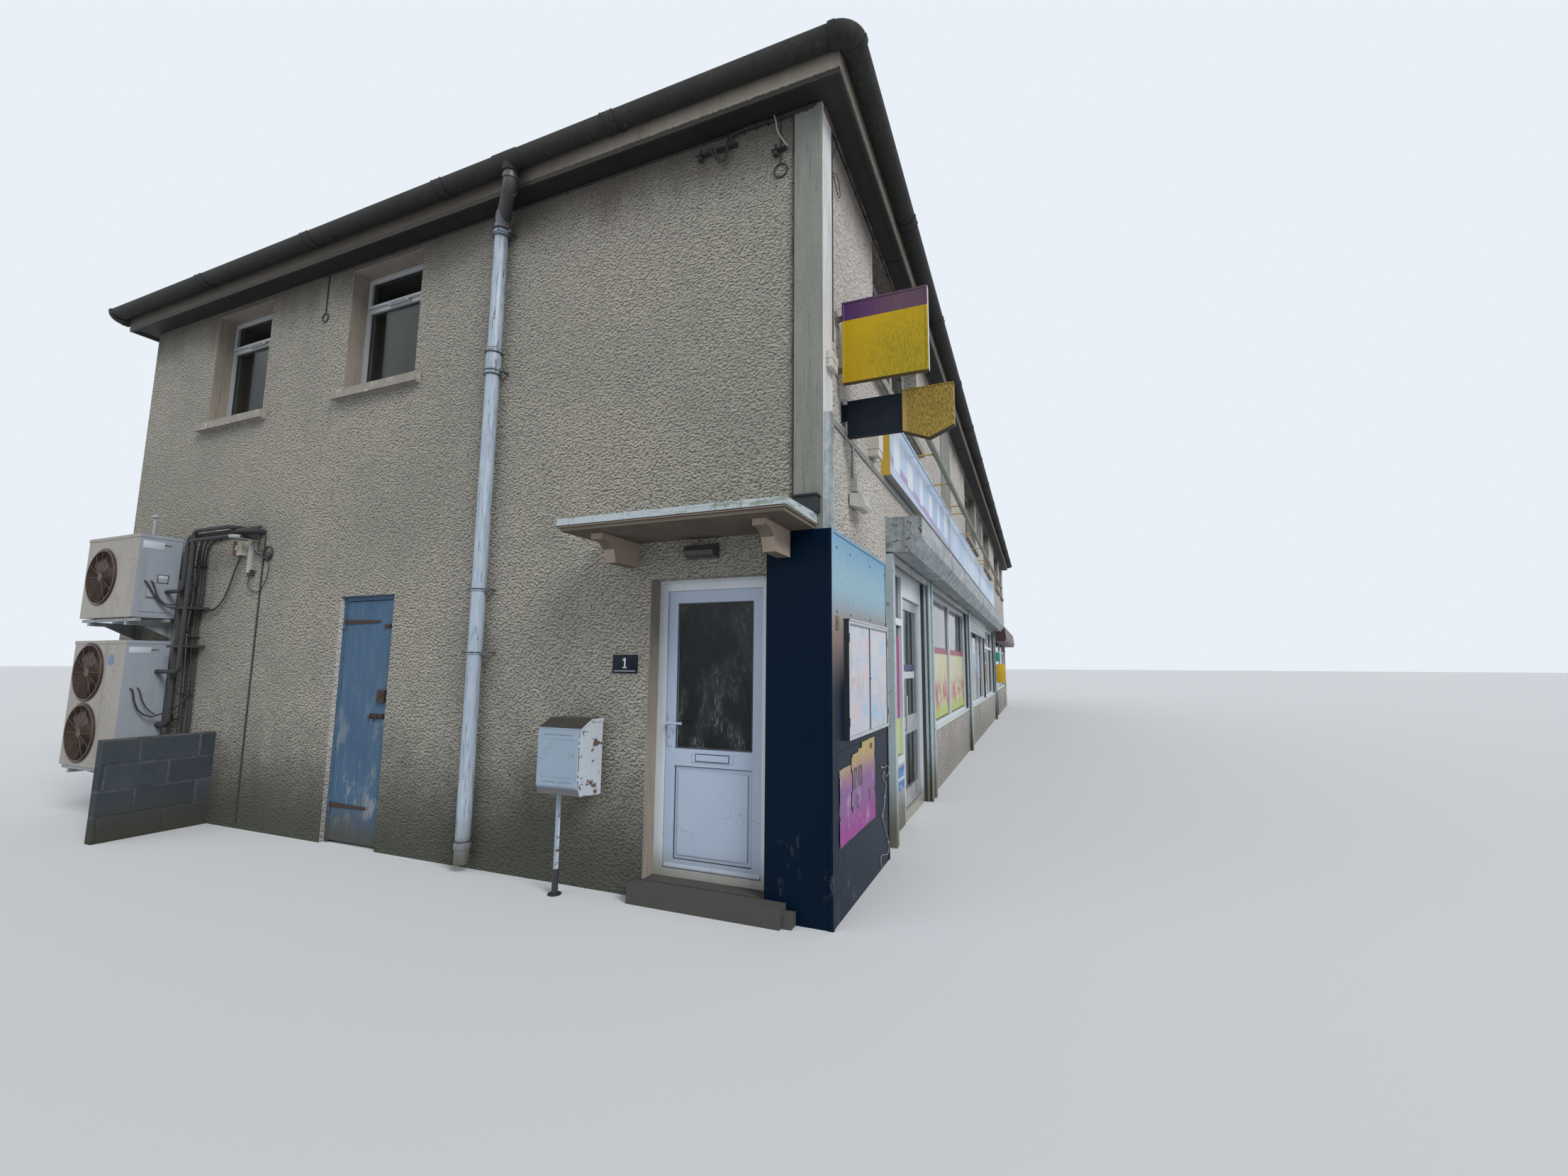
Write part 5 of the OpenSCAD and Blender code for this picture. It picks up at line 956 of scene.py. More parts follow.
whole("door_cards", cards, skin, "shop_door", smooth=0)

shop_seals = []
for low, high in [((2, 0.683), (2.74, 2.01)), ((2, 2.06), (2.74, 2.61)),
                  ((4.303, 0.843), (6.48, 2.6)), ((6.55, 0.843), (8.657, 2.6))]:
    shop_seals.append(ring((low[0] + 0.008, low[1] + 0.004), (high[0] - 0.008, high[1] - 0.012),
                           0.0735, 0.009, 0.003))
whole("shop_front_gaskets", placed(shop_seals), gasket, smooth=0)

# Roller shutters: folded galvanised housings with flanged ends, mill-grey and stained,
# steel guide channels painted white long ago, and curved laths hanging at rest.
skin = Finish("galvanised_sheet", 0.5, metallic=0.45)
crystals = skin.node("TexVoronoi", "Color", Vector=skin.place, Scale=38, Randomness=1)
spangle = skin.node("SeparateXYZ", "X", Vector=crystals)
skin.base(spangle, (0.27, 0.305, 0.325), (0.345, 0.385, 0.405))
across_sheet = skin.noise((45, 4, 4), 5, 0.65)
below_front = (skin.x > corner[0] + 1.84) * (skin.z > 2.63)
skin.coat(span(across_sheet, 0.5, 0.64) * (below_front * 0.8), (0.085, 0.09, 0.088))
skin.coat(span(skin.noise((1.5, 9, 9), 6, 0.65), 0.46, 0.68), (0.41, 0.435, 0.445))
skin.coat(skin.rain(20, 0.8), (0.155, 0.16, 0.135))
skin.coat(skin.specks(20, 0.35), (0.13, 0.125, 0.095))
rusted = span(skin.noise(13, 5, 0.6), 0.6, 0.66) * (skin.x < corner[0] + 1.8535)
skin.coat(rusted * below_front, (0.075, 0.05, 0.035))
cap = (skin.x < corner[0] - 0.015) * (abs(skin.y - (corner[1] + 0.09)) < 0.0895)
cap_paint = mix(skin.noise(16, 6, 0.7), (0.004, 0.008, 0.012), (0.036, 0.046, 0.052))
skin.coat(cap, cap_paint)
skin.relief(skin.noise(9, 4), 0.004, span(skin.noise(8, 5), 0.3, 0.7, 0.38, 0.66))
dress(skin, "shutter_boxes", "shutter_curtains", "corner_trim", "condenser_stand")
shutter_bolts = [pin((1.846, -y, z), (1.852, -y, z), 0.008, 8)
                 for y, z in [(0.075, 2.905), (0.105, 2.895), (0.215, 2.925), (0.24, 2.91),
                              (0.085, 2.745), (0.11, 2.752), (0.225, 2.77), (0.205, 2.76)]]
whole("shutter_end_bolts", shutter_bolts, black_iron)

skin = Finish("guide_paint", 0.5)
skin.base(skin.noise(3, 5), (0.28, 0.36, 0.385), (0.42, 0.5, 0.53))
skin.coat(skin.specks(14, 0.5), (0.17, 0.2, 0.15))
skin.coat(skin.splash(0.25, 0.8), (0.12, 0.12, 0.09))
skin.relief(skin.noise(50), 0.001)
dress(skin, "shutter_guides")

# Fascia sign: long painted trays with a folded rim, bleached pale blue and smeared with
# plain lilac and white shapes; the gold end cap has kept its colour.
skin = Finish("fascia_sign_face", 0.32)
along = skin.x - (corner[0] + 1.72)
skin.base(span(skin.noise(0.8, 4), 0.35, 0.65), (0.27, 0.4, 0.6), (0.45, 0.55, 0.68))
band = 3.53 - along * 0.035
offset = abs(skin.z - band)
skin.coat(span(offset, 0.05, 0.035), (0.26, 0.17, 0.36))
bars_per_metre = 1.45
wave = off_middle(along * bars_per_metre)
place_of_bar = skin.node("CombineXYZ", X=maths("FLOOR", along * bars_per_metre))
own_bar = skin.node("TexWhiteNoise", "Color", Vector=place_of_bar)
wave = wave - axis(own_bar, "X") * 0.11
bar_top = skin.z + axis(own_bar, "Y") * 0.13
bars = span(wave, 0.15, 0.14) * (span(skin.z, 3.47, 3.49) * span(bar_top, 3.9, 3.88))
bars = bars * span(along, 4.05, 4)
skin.coat(bars, (0.6, 0.65, 0.72))
skin.coat(skin.rain(11, 0.5), (0.3, 0.33, 0.33))
skin.coat(skin.specks(26, 0.2), (0.24, 0.25, 0.2))
capped = mix(skin.noise(20, 4), (0.46, 0.3, 0.035), (0.58, 0.4, 0.06))
skin.coat(skin.facing("X") < -0.6, capped)
skin.coat(skin.facing("Z") < -0.6, (0.2, 0.21, 0.2))
skin.relief(skin.noise(3, 3), 0.002)
dress(skin, "fascia_sign")

# Tube lights: slim painted tubes held off the wall above the sign by short arms, olive and
# gone to lichen, the arms a lighter ochre.
skin = Finish("tube_paint", 0.55)
skin.base(skin.noise(12, 6, 0.7), (0.13, 0.135, 0.085), (0.27, 0.27, 0.2))
skin.coat(skin.specks(60, 0.5), (0.055, 0.055, 0.04))
skin.coat(span(skin.y, corner[1] - 0.25, corner[1] - 0.235), (0.5, 0.33, 0.08))
skin.relief(skin.noise(80), 0.001)
dress(skin, "sign_lights")

# Hanging signs: an acrylic light box in plum over yellow and a yellow five-sided badge on
# a black bracket panel; both faces have mossy runs and specks.
skin = Finish("mossy_yellow", 0.3, specular=0.1)
yellow = mix(skin.noise(2.6, 4), (0.45, 0.28, 0.004), (0.54, 0.35, 0.01))
plum = mix(skin.noise(3, 4), (0.05, 0.01, 0.085), (0.08, 0.018, 0.125))
skin.base(span(skin.z, 4.1, 4.102), yellow, plum)
drips = skin.noise((30, 130, 26), 7, 0.75)
outer = span(skin.y, corner[1] - 0.1, corner[1] - 0.5, 0.3, 1)
lower = span(skin.z, 4.1, 3.8, 0.35, 1)
moss = span(drips, 0.46, 0.6) * (outer * lower)
skin.coat(moss * 0.85, (0.15, 0.135, 0.022))
film_of_green = outer * lower * 0.5
skin.coat(film_of_green, (0.25, 0.215, 0.02))
# The bottom faces are painted dark brown: painted shade.
skin.coat(skin.facing("Z") < -0.6, (0.12, 0.09, 0.045))
skin.coat(skin.facing("Y") < -0.6, (0.56, 0.56, 0.55))
held = skin.y > corner[1] - 0.0495
skin.coat(held, (0.16, 0.14, 0.13))
skin.relief(skin.noise(90, 4), 0.0005, 0.36 + moss * 0.4)
dress(skin, "square_sign")

badge_skin = skin = Finish("badge_skin", 0.45, specular=0.08)
ochre = mix(skin.noise(6, 5), (0.3, 0.19, 0.035), (0.42, 0.29, 0.075))
moss = span(skin.noise((34, 120, 34), 7, 0.8), 0.44, 0.56)
ochre = mix(moss * 0.8, ochre, (0.075, 0.07, 0.018))
ochre = mix(span(skin.y, corner[1] - 0.5, corner[1] - 0.47), ochre, (0.36, 0.24, 0.075))
ochre = mix(skin.facing("Z") < -0.3, ochre, (0.045, 0.035, 0.02))
skin.base(skin.noise(9, 5), (0.006, 0.01, 0.018), (0.018, 0.024, 0.036))
skin.coat(skin.specks(30, 0.25), (0.07, 0.06, 0.055))
on_badge = skin.y < corner[1] - 0.4545
skin.coat(on_badge, ochre)
skin.relief(skin.noise(90, 4), 0.0008)
dress(skin, "badge_sign")

# Notice case: an anodised frame in two leaves, hung on the cladding, over bleached papers
# behind scratched plastic.
skin = Finish("case_frame", 0.42, metallic=0.3)
skin.base(skin.noise(8, 5), (0.4, 0.42, 0.45), (0.58, 0.6, 0.63))
skin.coat(skin.specks(35, 0.4), (0.24, 0.22, 0.2))
# The frame's sides facing -X are painted near black: painted shade.
skin.coat(skin.facing("X") < -0.5, (0.03, 0.036, 0.042))
skin.relief(skin.noise(60), 0.0004)
dress(skin, "notice_board")
skin = Finish("bleached_papers", 0.35)
case_left, case_foot = (0.274, 1.124)
column = (skin.x - (corner[0] + case_left)) / 0.2715
row = (skin.z - case_foot) / 0.2523
cell = skin.node("CombineXYZ", X=maths("FLOOR", column), Y=maths("FLOOR", row))
own = skin.node("TexWhiteNoise", "Color", Vector=cell)
skin.base(axis(own, "X"), (0.4, 0.46, 0.56), (0.53, 0.5, 0.53))
pick = axis(own, "Y")
tint = mix(pick > 0.62, mix(pick, (0.6, 0.42, 0.44), (0.6, 0.52, 0.34)), (0.24, 0.46, 0.66))
wobble = (skin.noise(5, 4) - 0.5) * 0.35
across = off_middle(column)
upward = abs(maths("FRACT", row) - (0.35 + axis(own, "Z") * 0.3))
patch = span(across + wobble, 0.36, 0.28) * span(upward + wobble, 0.28, 0.18)
skin.coat(patch * 0.62, tint)
lines = off_middle(row * 9)
lines = span(lines, 0.16, 0.12) * span(upward, 0.27, 0.3)
skin.coat(lines * span(across, 0.42, 0.4, 0, 0.16), (0.3, 0.34, 0.4))
edge = maths("MAXIMUM", span(across, 0.48, 0.492), span(off_middle(row), 0.48, 0.492))
skin.coat(edge * 0.25, (0.22, 0.24, 0.27))
haze = skin.noise((6, 6, 3.6), 6, 0.7, 0.5)
skin.coat(span(haze, 0.45, 0.62, 0, 0.6), (0.5, 0.53, 0.57))
stained = skin.noise((4, 4, 2), 6, 0.7, 0.8)
skin.coat(span(stained, 0.56, 0.66, 0, 0.55), (0.34, 0.28, 0.28))
in_leaf = maths("FRACT", (skin.x - (corner[0] + case_left)) / 0.569)
shade = maths("MAXIMUM", span(in_leaf, 0.905, 0.915), span(skin.z, 1.862, 1.87))
skin.coat(shade * 0.85, (0.085, 0.09, 0.105))
skin.relief(skin.noise(40), 0.0006)
board_face = -0.104
leaves = [slab((left, board_face + 0.004, case_foot), (right, board_face + 0.0075, 1.881))
          for left, right in [(case_left, 0.817), (0.843, 1.386)]]
whole("notice_papers", leaves, skin, smooth=0)

# Corner cladding: gloss black laminate sheets screwed to battens, streaked by rain, with
# steel edge trims; a painted sky reflection lies on the upper street face, and a torn bill is
# pasted on the street side.
skin = Finish("black_laminate", 0.42, specular=0.05)
skin.base(skin.noise(1.6, 4), (0.001, 0.0068, 0.0175), (0.0026, 0.011, 0.028))
street_face = skin.facing("Y") < -0.5
drips = skin.noise((70, 70, 2.2), 6, 0.7)
# A pale veil on the upper street face, blue above and warm lower down: a painted reflection of the
# sky, its lower edge ragged with drips.
sky_reflection_edge = skin.z + drips * 0.25
sky_reflection = span(sky_reflection_edge, 1.5, 2.15) * street_face
reflected_sky_tones = mix(span(skin.z, 1.8, 2.15), (0.36, 0.275, 0.23), (0.325, 0.49, 0.58))
reflected_sky_tones = mix(span(skin.z, 2.2, 2.5), reflected_sky_tones, (0.225, 0.4, 0.56))
skin.coat(sky_reflection * 0.92, reflected_sky_tones)
beads = skin.noise((85, 85, 60), 3, 0.7)
skin.coat(span(beads, 0.56, 0.64) * (sky_reflection * 0.55), (0.05, 0.085, 0.11))
# The whole street face a touch paler: painted sheen.
skin.coat(street_face * 0.06, (0.075, 0.105, 0.135))
rivulets = span(skin.noise((60, 60, 1.1), 5, 0.75), 0.6, 0.66)
rivulets = rivulets * span(skin.x, corner[0] + 1.1, corner[0] + 0.5)
skin.coat(rivulets * street_face * 0.8, (0.03, 0.045, 0.06))
scuff = span(skin.z, 0.75, 0.05) * span(skin.noise((9, 9, 4), 8, 0.75), 0.56, 0.68)
skin.coat(scuff * 0.65, (0.13, 0.135, 0.135))
nicks = skin.specks(30, 0.05, at=skin.stretched(1, 1, 0.4))
skin.coat(nicks, (0.2, 0.21, 0.22))
skin.relief(skin.noise(1.1, 1), 0.0015, 0.34 + (sky_reflection + scuff) * 0.3)
dress(skin, "corner_panel")

skin = Finish("torn_bill", 0.42)
waver = skin.z + skin.noise(2) * 0.08
skin.base(span(waver, 0.5, 0.76), (0.245, 0.015, 0.205), (0.185, 0.07, 0.225))
skin.coat(span(waver, 0.8, 1.04), (0.4, 0.285, 0.09))
along = skin.x - corner[0]
digits = [(0.405, 0.435, 0.745, 0.895, 1), (0.385, 0.41, 0.86, 0.882, 1),
          (0.455, 0.555, 0.745, 0.895, 1), (0.487, 0.523, 0.772, 0.868, 0),
          (0.575, 0.675, 0.745, 0.895, 1), (0.607, 0.643, 0.772, 0.868, 0),
          (0.47, 0.495, 0.6, 0.705, 1), (0.452, 0.475, 0.682, 0.698, 1),
          (0.52, 0.6, 0.6, 0.705, 1), (0.546, 0.574, 0.622, 0.683, 0),
          (0.86, 0.92, 0.585, 0.69, 1), (0.9, 0.98, 0.965, 1.015, 1)]
figure = 0
for left, right, foot, head, dark in digits:
    bar = span(along, left, left + 0.008) * span(along, right, right - 0.008)
    bar = bar * (span(skin.z, foot, foot + 0.008) * span(skin.z, head, head - 0.008))
    figure = maths("MAXIMUM" if dark else "SUBTRACT", figure, bar)
skin.coat(span(figure, 0, 1, 0, 0.94), (0.03, 0.014, 0.034))
faded = span(skin.noise((9, 9, 5.4), 6, 0.7), 0.54, 0.68, 0, 0.35)
skin.coat(faded, (0.5, 0.43, 0.42))
skin.relief(skin.noise((11, 11, 5.5), 4, 0.6, 0.6), 0.004)
random.seed(7)
bare()
bpy.ops.mesh.primitive_grid_add(x_subdivisions=42, y_subdivisions=30, size=1)
bill = bpy.context.object
opened()
bpy.ops.mesh.select_mode(type="FACE")
bpy.ops.mesh.select_all(action="DESELECT")
closed()
for face in bill.data.polygons:
    u, v = (face.center.x, face.center.y)
    torn_top = 0.5 if u > 0.1 else 0.42 + 0.02 * math.sin(19 * u) if u > -0.19 else 0.29
    ripped = abs(u + 0.19 - 0.016 * math.sin(17 * v)) < 0.0125 and v > -0.22
    face.select = v > torn_top or ripped
bpy.ops.object.mode_set(mode="EDIT")
bpy.ops.mesh.delete(type="FACE")
bpy.ops.object.mode_set(mode="OBJECT")
for point in bill.data.vertices:
    u, v = (point.co.x, point.co.y)
    nick = 0.03 if random.random() < 0.12 else 0.007
    if abs(u) > 0.499:
        point.co.x -= math.copysign(random.uniform(0, nick), u)
    if abs(v) > 0.499 or (u < 0.1 and v > 0.27):
        point.co.y -= math.copysign(random.uniform(0, min(nick, 0.014)), v)
    point.co.z += 0.004 * abs(math.sin(u * 9) * math.sin(v * 7 + 1))
bill.scale = (0.93, 0.61, 1)
bill.rotation_euler = (math.pi / 2, 0, 0)
bill.location = spot(0.585, -0.0675, 0.745)
whole("torn_bill", [thickened(settle(bill, 0), 0.0008)], skin)

screws = []
for z in (0.25, 0.62, 1, 1.95, 2.38):
    for x in (0.1, 0.42, 0.98, 1.49):
        screws.append(pin((x, -0.0685, z), (x, -0.065, z), 0.009, 10))
whole("cladding_screws", screws, gasket)

# Lamps, alarm box and junction boxes: moulded plastic, yellowed and mossy on top; the
# bulkhead lens is ribbed, and the parts under the canopy are coloured much darker.
skin = Finish("aged_plastic", 0.4)
skin.base(skin.noise(5, 4), (0.46, 0.45, 0.41), (0.6, 0.59, 0.54))
skin.coat(skin.specks(26, 0.42), (0.2, 0.2, 0.13))
skin.coat(skin.rain(40, 0.5), (0.22, 0.21, 0.16))
# Parts under the canopy are coloured much darker.
over_door = (skin.z < 2.49) * (skin.y > corner[1] + 0.3)
darker_under_canopy = mix(skin.noise(18, 5), (0.024, 0.023, 0.022), (0.075, 0.073, 0.07))
skin.coat(over_door, darker_under_canopy)
skin.relief(skin.noise(60), 0.0006)
dress(skin, "outside_lights")

# Letter box: folded sheet steel on a post, white paint scorched by rust where it flakes,
# under a hood darkened by moss; the post's foot is sleeved in black.
skin = Finish("flaking_white", 0.45)
# The white is tinted blue and the front face painted darker blue still: painted shade.
skin.base(skin.noise(4, 4), (0.44, 0.49, 0.555), (0.54, 0.58, 0.63))
skin.coat(skin.facing("X", "TexCoord") < -0.5,
          mix(skin.noise(4, 4), (0.225, 0.3, 0.385), (0.29, 0.37, 0.455)))
scratch = span(skin.noise((1, 40, 9), 6, 0.8), 0.62, 0.68)
skin.coat(scratch * 0.5, (0.42, 0.43, 0.43))
patch = skin.noise((9, 9, 16), 7, 0.72)
flaked = span(patch, 0.575, 0.6)
side = maths("MAXIMUM", skin.facing("Y", "TexCoord") < -0.5, skin.facing("Y", "TexCoord") > 0.5)
flaked = flaked * span(side, 0, 1, 0.12, 1)
skin.coat(flaked, (0.105, 0.055, 0.035))
hood = span(skin.z, 1.15, 1.156) * span(skin.facing("Z", "TexCoord"), 0.2, 0.6)
hooded = mix(skin.noise(16, 6), (0.014, 0.014, 0.014), (0.058, 0.052, 0.044))
skin.coat(hood, hooded)
low = span(skin.z, 0.176, 0.17)
skin.coat(low, (0.03, 0.03, 0.034))
under = (skin.facing("Z", "TexCoord") < -0.3) * 0.7
skin.coat(under, (0.1, 0.065, 0.045))
skin.relief(1 - flaked, 0.0012, span(flaked, 0, 1, 0.4, 0.85))
dress(skin, "letter_box", "letter_box_door")

# Door plaque: a small black laminate plate glued to the end wall by the flat's door, with
# a plain number and a rule in white.
plaque = slab((-0.008, 1.415, 1.533), (0.001, 1.631, 1.667), 0.002)
whole("door_plaque", [plaque], badge_skin)
numeral = [slab((-0.0092, left, foot), (-0.0075, right, head))
           for left, right, foot, head in [(1.517, 1.529, 1.575, 1.645),
                                           (1.529, 1.541, 1.625, 1.637),
                                           (1.506, 1.54, 1.57, 1.579),
                                           (1.43, 1.616, 1.548, 1.552)]]
whole("plaque_number", numeral, upvc, smooth=0)

# Condensers: enamelled casings bracketed to the wall, faded, dusty and specked with rust,
# with wire guards over the fans; the near sides are painted paler and bluer as light, and
# the fan openings dark, partly rust and partly painted shade.
skin = Finish("casing_enamel", 0.42)
# The near sides facing the street get paler, bluer tones as painted light, and less rust.
lit_and_cleaner_near_side = skin.facing("Y") < -0.5
skin.base(skin.noise(2.4, 5), (0.225, 0.205, 0.18), (0.335, 0.31, 0.27))
skin.coat(lit_and_cleaner_near_side, mix(skin.noise(2, 4), (0.245, 0.275, 0.32), (0.325, 0.355, 0.395)))
skin.coat(skin.rain(8, 0.45), (0.15, 0.125, 0.095))
rusting = skin.specks(9, 0.5) * (1 - lit_and_cleaner_near_side * 0.75)
skin.coat(rusting * 0.55, (0.17, 0.115, 0.065))
fan_y, fan_heights = (7.99, (0.865, 1.488, 2.5))
hollow = None
for z in fan_heights:
    apart = skin.node("VectorMath", "Value", operation="DISTANCE")
    plug(apart.socket.node.inputs[0], skin.place)
    plug(apart.socket.node.inputs[1],
         skin.node("CombineXYZ", X=skin.x, Y=corner[1] + fan_y, Z=z))
    within = span(apart, 0.322, 0.305)
    hollow = maths("MAXIMUM", hollow, within) if hollow else within
# The fan openings are painted dark rusty brown: partly rust, partly painted shade inside them.
rust_and_shade_in_fans = mix(skin.noise(9, 5), (0.028, 0.018, 0.014), (0.082, 0.05, 0.036))
skin.coat(hollow, rust_and_shade_in_fans)
skin.relief(skin.noise(40), 0.0006)
dress(skin, "condensers")

guard_wire = skin = Finish("guard_wire", 0.5, metallic=0.3)
skin.base(skin.noise(20, 5), (0.045, 0.03, 0.024), (0.11, 0.072, 0.052))
skin.relief(skin.noise(120), 0.0004)
guards = []
for z in fan_heights:
    for radius in [0.045 + 0.0235 * k for k in range(11)]:
        bare()
        bpy.ops.mesh.primitive_torus_add(major_segments=40, minor_segments=4, major_radius=radius,
                                         minor_radius=0.0022, location=spot(-0.458, fan_y, z),
                                         rotation=(0, math.pi / 2, 0))
        guards.append(settle(bpy.context.object, 0))
    for k in range(12):
        turn = math.pi * k / 6
        out = (math.cos(turn), math.sin(turn))
        guards.append(pin((-0.461, fan_y + 0.04 * out[0], z + 0.04 * out[1]),
                          (-0.461, fan_y + 0.284 * out[0], z + 0.284 * out[1]), 0.0028, 5))
    guards.append(pin((-0.463, fan_y, z), (-0.4565, fan_y, z), 0.045, 24))
whole("fan_guards", guards, guard_wire)

# Rating plates: plain foil stuck on the casings' near sides, a round blue one on a front,
# and the raised edge of a hatch.
skin = Finish("plate_foil", 0.35)
skin.base(skin.noise(30, 4), (0.4, 0.45, 0.5), (0.56, 0.6, 0.64))
skin.relief(skin.noise(60), 0.0003)
plate_front, plate_back = (7.2975, 7.3004)
plates = [slab((left, plate_front, foot), (right, plate_back, head), 0.001)
          for left, right, foot, head in [(-0.424, -0.25, 2.783, 2.862),
                                          (-0.425, -0.252, 1.692, 1.752),
                                          (-0.272, -0.192, 2.475, 2.512)]]
whole("casing_plates", plates, skin)
skin = Finish("round_plate", 0.35)
skin.base(skin.noise(22, 3), (0.055, 0.11, 0.22), (0.14, 0.22, 0.36))
skin.relief(skin.noise(60), 0.0003)
round_plate = pin((-0.4525, 7.56, 1.617), (-0.4495, 7.56, 1.617), 0.058, 28)
whole("casing_round_plate", [round_plate], skin)
hatch = [ring((-0.278, 2.426), (-0.186, 2.517), 7.2985, 0.007, 0.003)]
whole("casing_hatch_edge", placed(hatch), guard_wire, smooth=0)

# Pipes and cables: foam-lagged refrigerant pipes taped along their length, black cables
# clipped to the wall and pale conduits over the shop.
lagging = skin = Finish("black_lagging", 0.75)
skin.base(skin.noise(16, 5), (0.014, 0.014, 0.016), (0.045, 0.044, 0.046))
skin.coat(skin.specks(40, 0.3), (0.09, 0.088, 0.075))
pale_duct = mix(skin.noise(12, 5), (0.3, 0.31, 0.3), (0.44, 0.44, 0.42))
over_shop = (skin.z < 3.4) * (skin.x > corner[0] + 0.1)
duct = ((skin.y > corner[1] + 6.165)
        * ((skin.y < corner[1] + 6.252) * ((skin.z > 2.514) * (skin.z < 2.882))))
skin.coat(maths("MAXIMUM", over_shop, duct), pale_duct)
switch_box = (skin.y > corner[1] + 6.299) * (skin.y < corner[1] + 6.451)
switch_box = switch_box * ((skin.z > 2.6995) * ((skin.z < 2.8505) * (skin.x > corner[0] - 0.076)))
cream_box = mix(skin.y > corner[1] + 6.385, (0.42, 0.4, 0.33), (0.12, 0.05, 0.025))
skin.coat(switch_box, cream_box)
wraps = skin.node("TexWave", "Fac", Vector=skin.place, Scale=18, Distortion=1, Detail=2,
                  bands_direction="Z")
skin.relief(wraps, 0.002)
dress(lagging, "pipes_and_cables")


def cable(radius, *points):
    """A fixed cable laid on a smooth line through its points."""
    line = bpy.data.curves.new("cable", "CURVE")
    line.dimensions = "3D"
    way = line.splines.new("BEZIER")
    way.bezier_points.add(len(points) - 1)
    for knot, at in zip(way.bezier_points, points):
        knot.co = spot(*at)
        knot.handle_left_type = knot.handle_right_type = "AUTO"
    line.bevel_depth = radius
    line.bevel_resolution = 1
    line.resolution_u = 5
    line.use_fill_caps = True
    piece = bpy.data.objects.new("cable", line)
    bpy.context.collection.objects.link(piece)
    take(piece)
    bpy.ops.object.convert(target="MESH")
    return bpy.context.object


# Wiring of the condensers: black sheathed cables strapped along the lagged pipes, short
# tails to the casings, a loop to the isolator and spare turns by the small box.
def drop(y, x, top, foot, radius, lean):
    """One cable of the bundle: along the wall from the isolator, round a bend and down."""
    return cable(radius, (x, 6.075, top), (x, 6.45, top + 0.012), (x, y - 0.22, top - 0.006),
                 (x, y - 0.05, top - 0.05), (x, y, top - 0.2), (x, y - 0.02, 2.35),
                 (x, y + 0.01, 1.95), (x, y - lean * 0.5, 1.5), (x, y - lean, foot))


wiring = [drop(7, -0.018, 2.915, 0.8, 0.009, 0.045), drop(7.03, -0.034, 2.942, 0.8, 0.008, 0.05),
          drop(7.058, -0.02, 2.96, 0.72, 0.0075, 0.04),
          drop(7.085, -0.038, 2.978, 0.6, 0.0085, 0.045),
          drop(7.15, -0.022, 2.99, 0.6, 0.008, 0.05), drop(7.178, -0.04, 2.972, 0.7, 0.007, 0.06),
          cable(0.0085, (-0.377, 7.292, 2.438), (-0.372, 7.272, 2.425), (-0.319, 7.262, 2.324),
                (-0.244, 7.245, 2.211), (-0.18, 7.2, 2.171), (-0.125, 7.12, 2.206),
                (-0.085, 7.045, 2.338), (-0.062, 7.038, 2.483), (-0.055, 7.036, 2.713)),
          cable(0.0075, (-0.328, 7.292, 2.441), (-0.322, 7.275, 2.43), (-0.3, 7.27, 2.366),
                (-0.262, 7.25, 2.258), (-0.21, 7.225, 2.205), (-0.15, 7.15, 2.215),
                (-0.09, 7.075, 2.33), (-0.062, 7.06, 2.5)),
          cable(0.0085, (-0.381, 7.292, 1.33), (-0.376, 7.272, 1.318), (-0.349, 7.262, 1.192),
                (-0.295, 7.25, 1.085), (-0.229, 7.22, 1.043), (-0.158, 7.18, 1.068),
                (-0.1, 7.08, 1.126), (-0.06, 6.985, 1.226), (-0.052, 6.965, 1.4)),
          cable(0.006, (-0.328, 7.292, 1.334), (-0.322, 7.275, 1.322), (-0.29, 7.262, 1.208),
                (-0.243, 7.24, 1.11), (-0.195, 7.212, 1.058)),
          cable(0.0065, (-0.045, 6.341, 2.705), (-0.045, 6.352, 2.66), (-0.04, 6.413, 2.559),
                (-0.032, 6.5, 2.395), (-0.03, 6.59, 2.248), (-0.03, 6.69, 2.17),
                (-0.032, 6.79, 2.143), (-0.036, 6.9, 2.134), (-0.04, 6.985, 2.15)),
          cable(0.006, (-0.045, 6.322, 2.705), (-0.046, 6.33, 2.66), (-0.046, 6.392, 2.545),
                (-0.04, 6.48, 2.375), (-0.04, 6.575, 2.23), (-0.04, 6.69, 2.15),
                (-0.042, 6.8, 2.128), (-0.046, 6.9, 2.12), (-0.05, 6.985, 2.13)),
          cable(0.0045, (-0.022, 6.185, 2.482), (-0.02, 6.202, 2.436), (-0.016, 6.206, 2.373),
                (-0.014, 6.139, 2.322), (-0.014, 6.051, 2.308), (-0.016, 5.94, 2.391),
                (-0.018, 5.89, 2.514), (-0.018, 5.903, 2.628), (-0.02, 6, 2.715),
                (-0.022, 6.06, 2.8), (-0.022, 6.075, 2.905)),
          cable(0.009, (-0.02, 6.15, 2.745), (-0.026, 6.105, 2.706), (-0.03, 5.99, 2.675),
                (-0.026, 5.88, 2.664), (-0.022, 5.9, 2.7), (-0.026, 6, 2.716),
                (-0.03, 6.075, 2.76), (-0.022, 6.085, 2.85), (-0.02, 6.08, 2.935))]
straps = [slab((-0.052, 6.985, z), (0.002, 7.198, z + 0.01), 0.003) for z in (2.62, 1.86, 1.26)]
for z, y in [(1.9, 7.21), (0.98, 7.2)]:
    wiring.append(pin((-0.075, y, z), (-0.075, y, z + 0.075), 0.024, 12))
    wiring.append(pin((-0.075, y, z + 0.02), (0.002, y, z + 0.02), 0.01, 8))
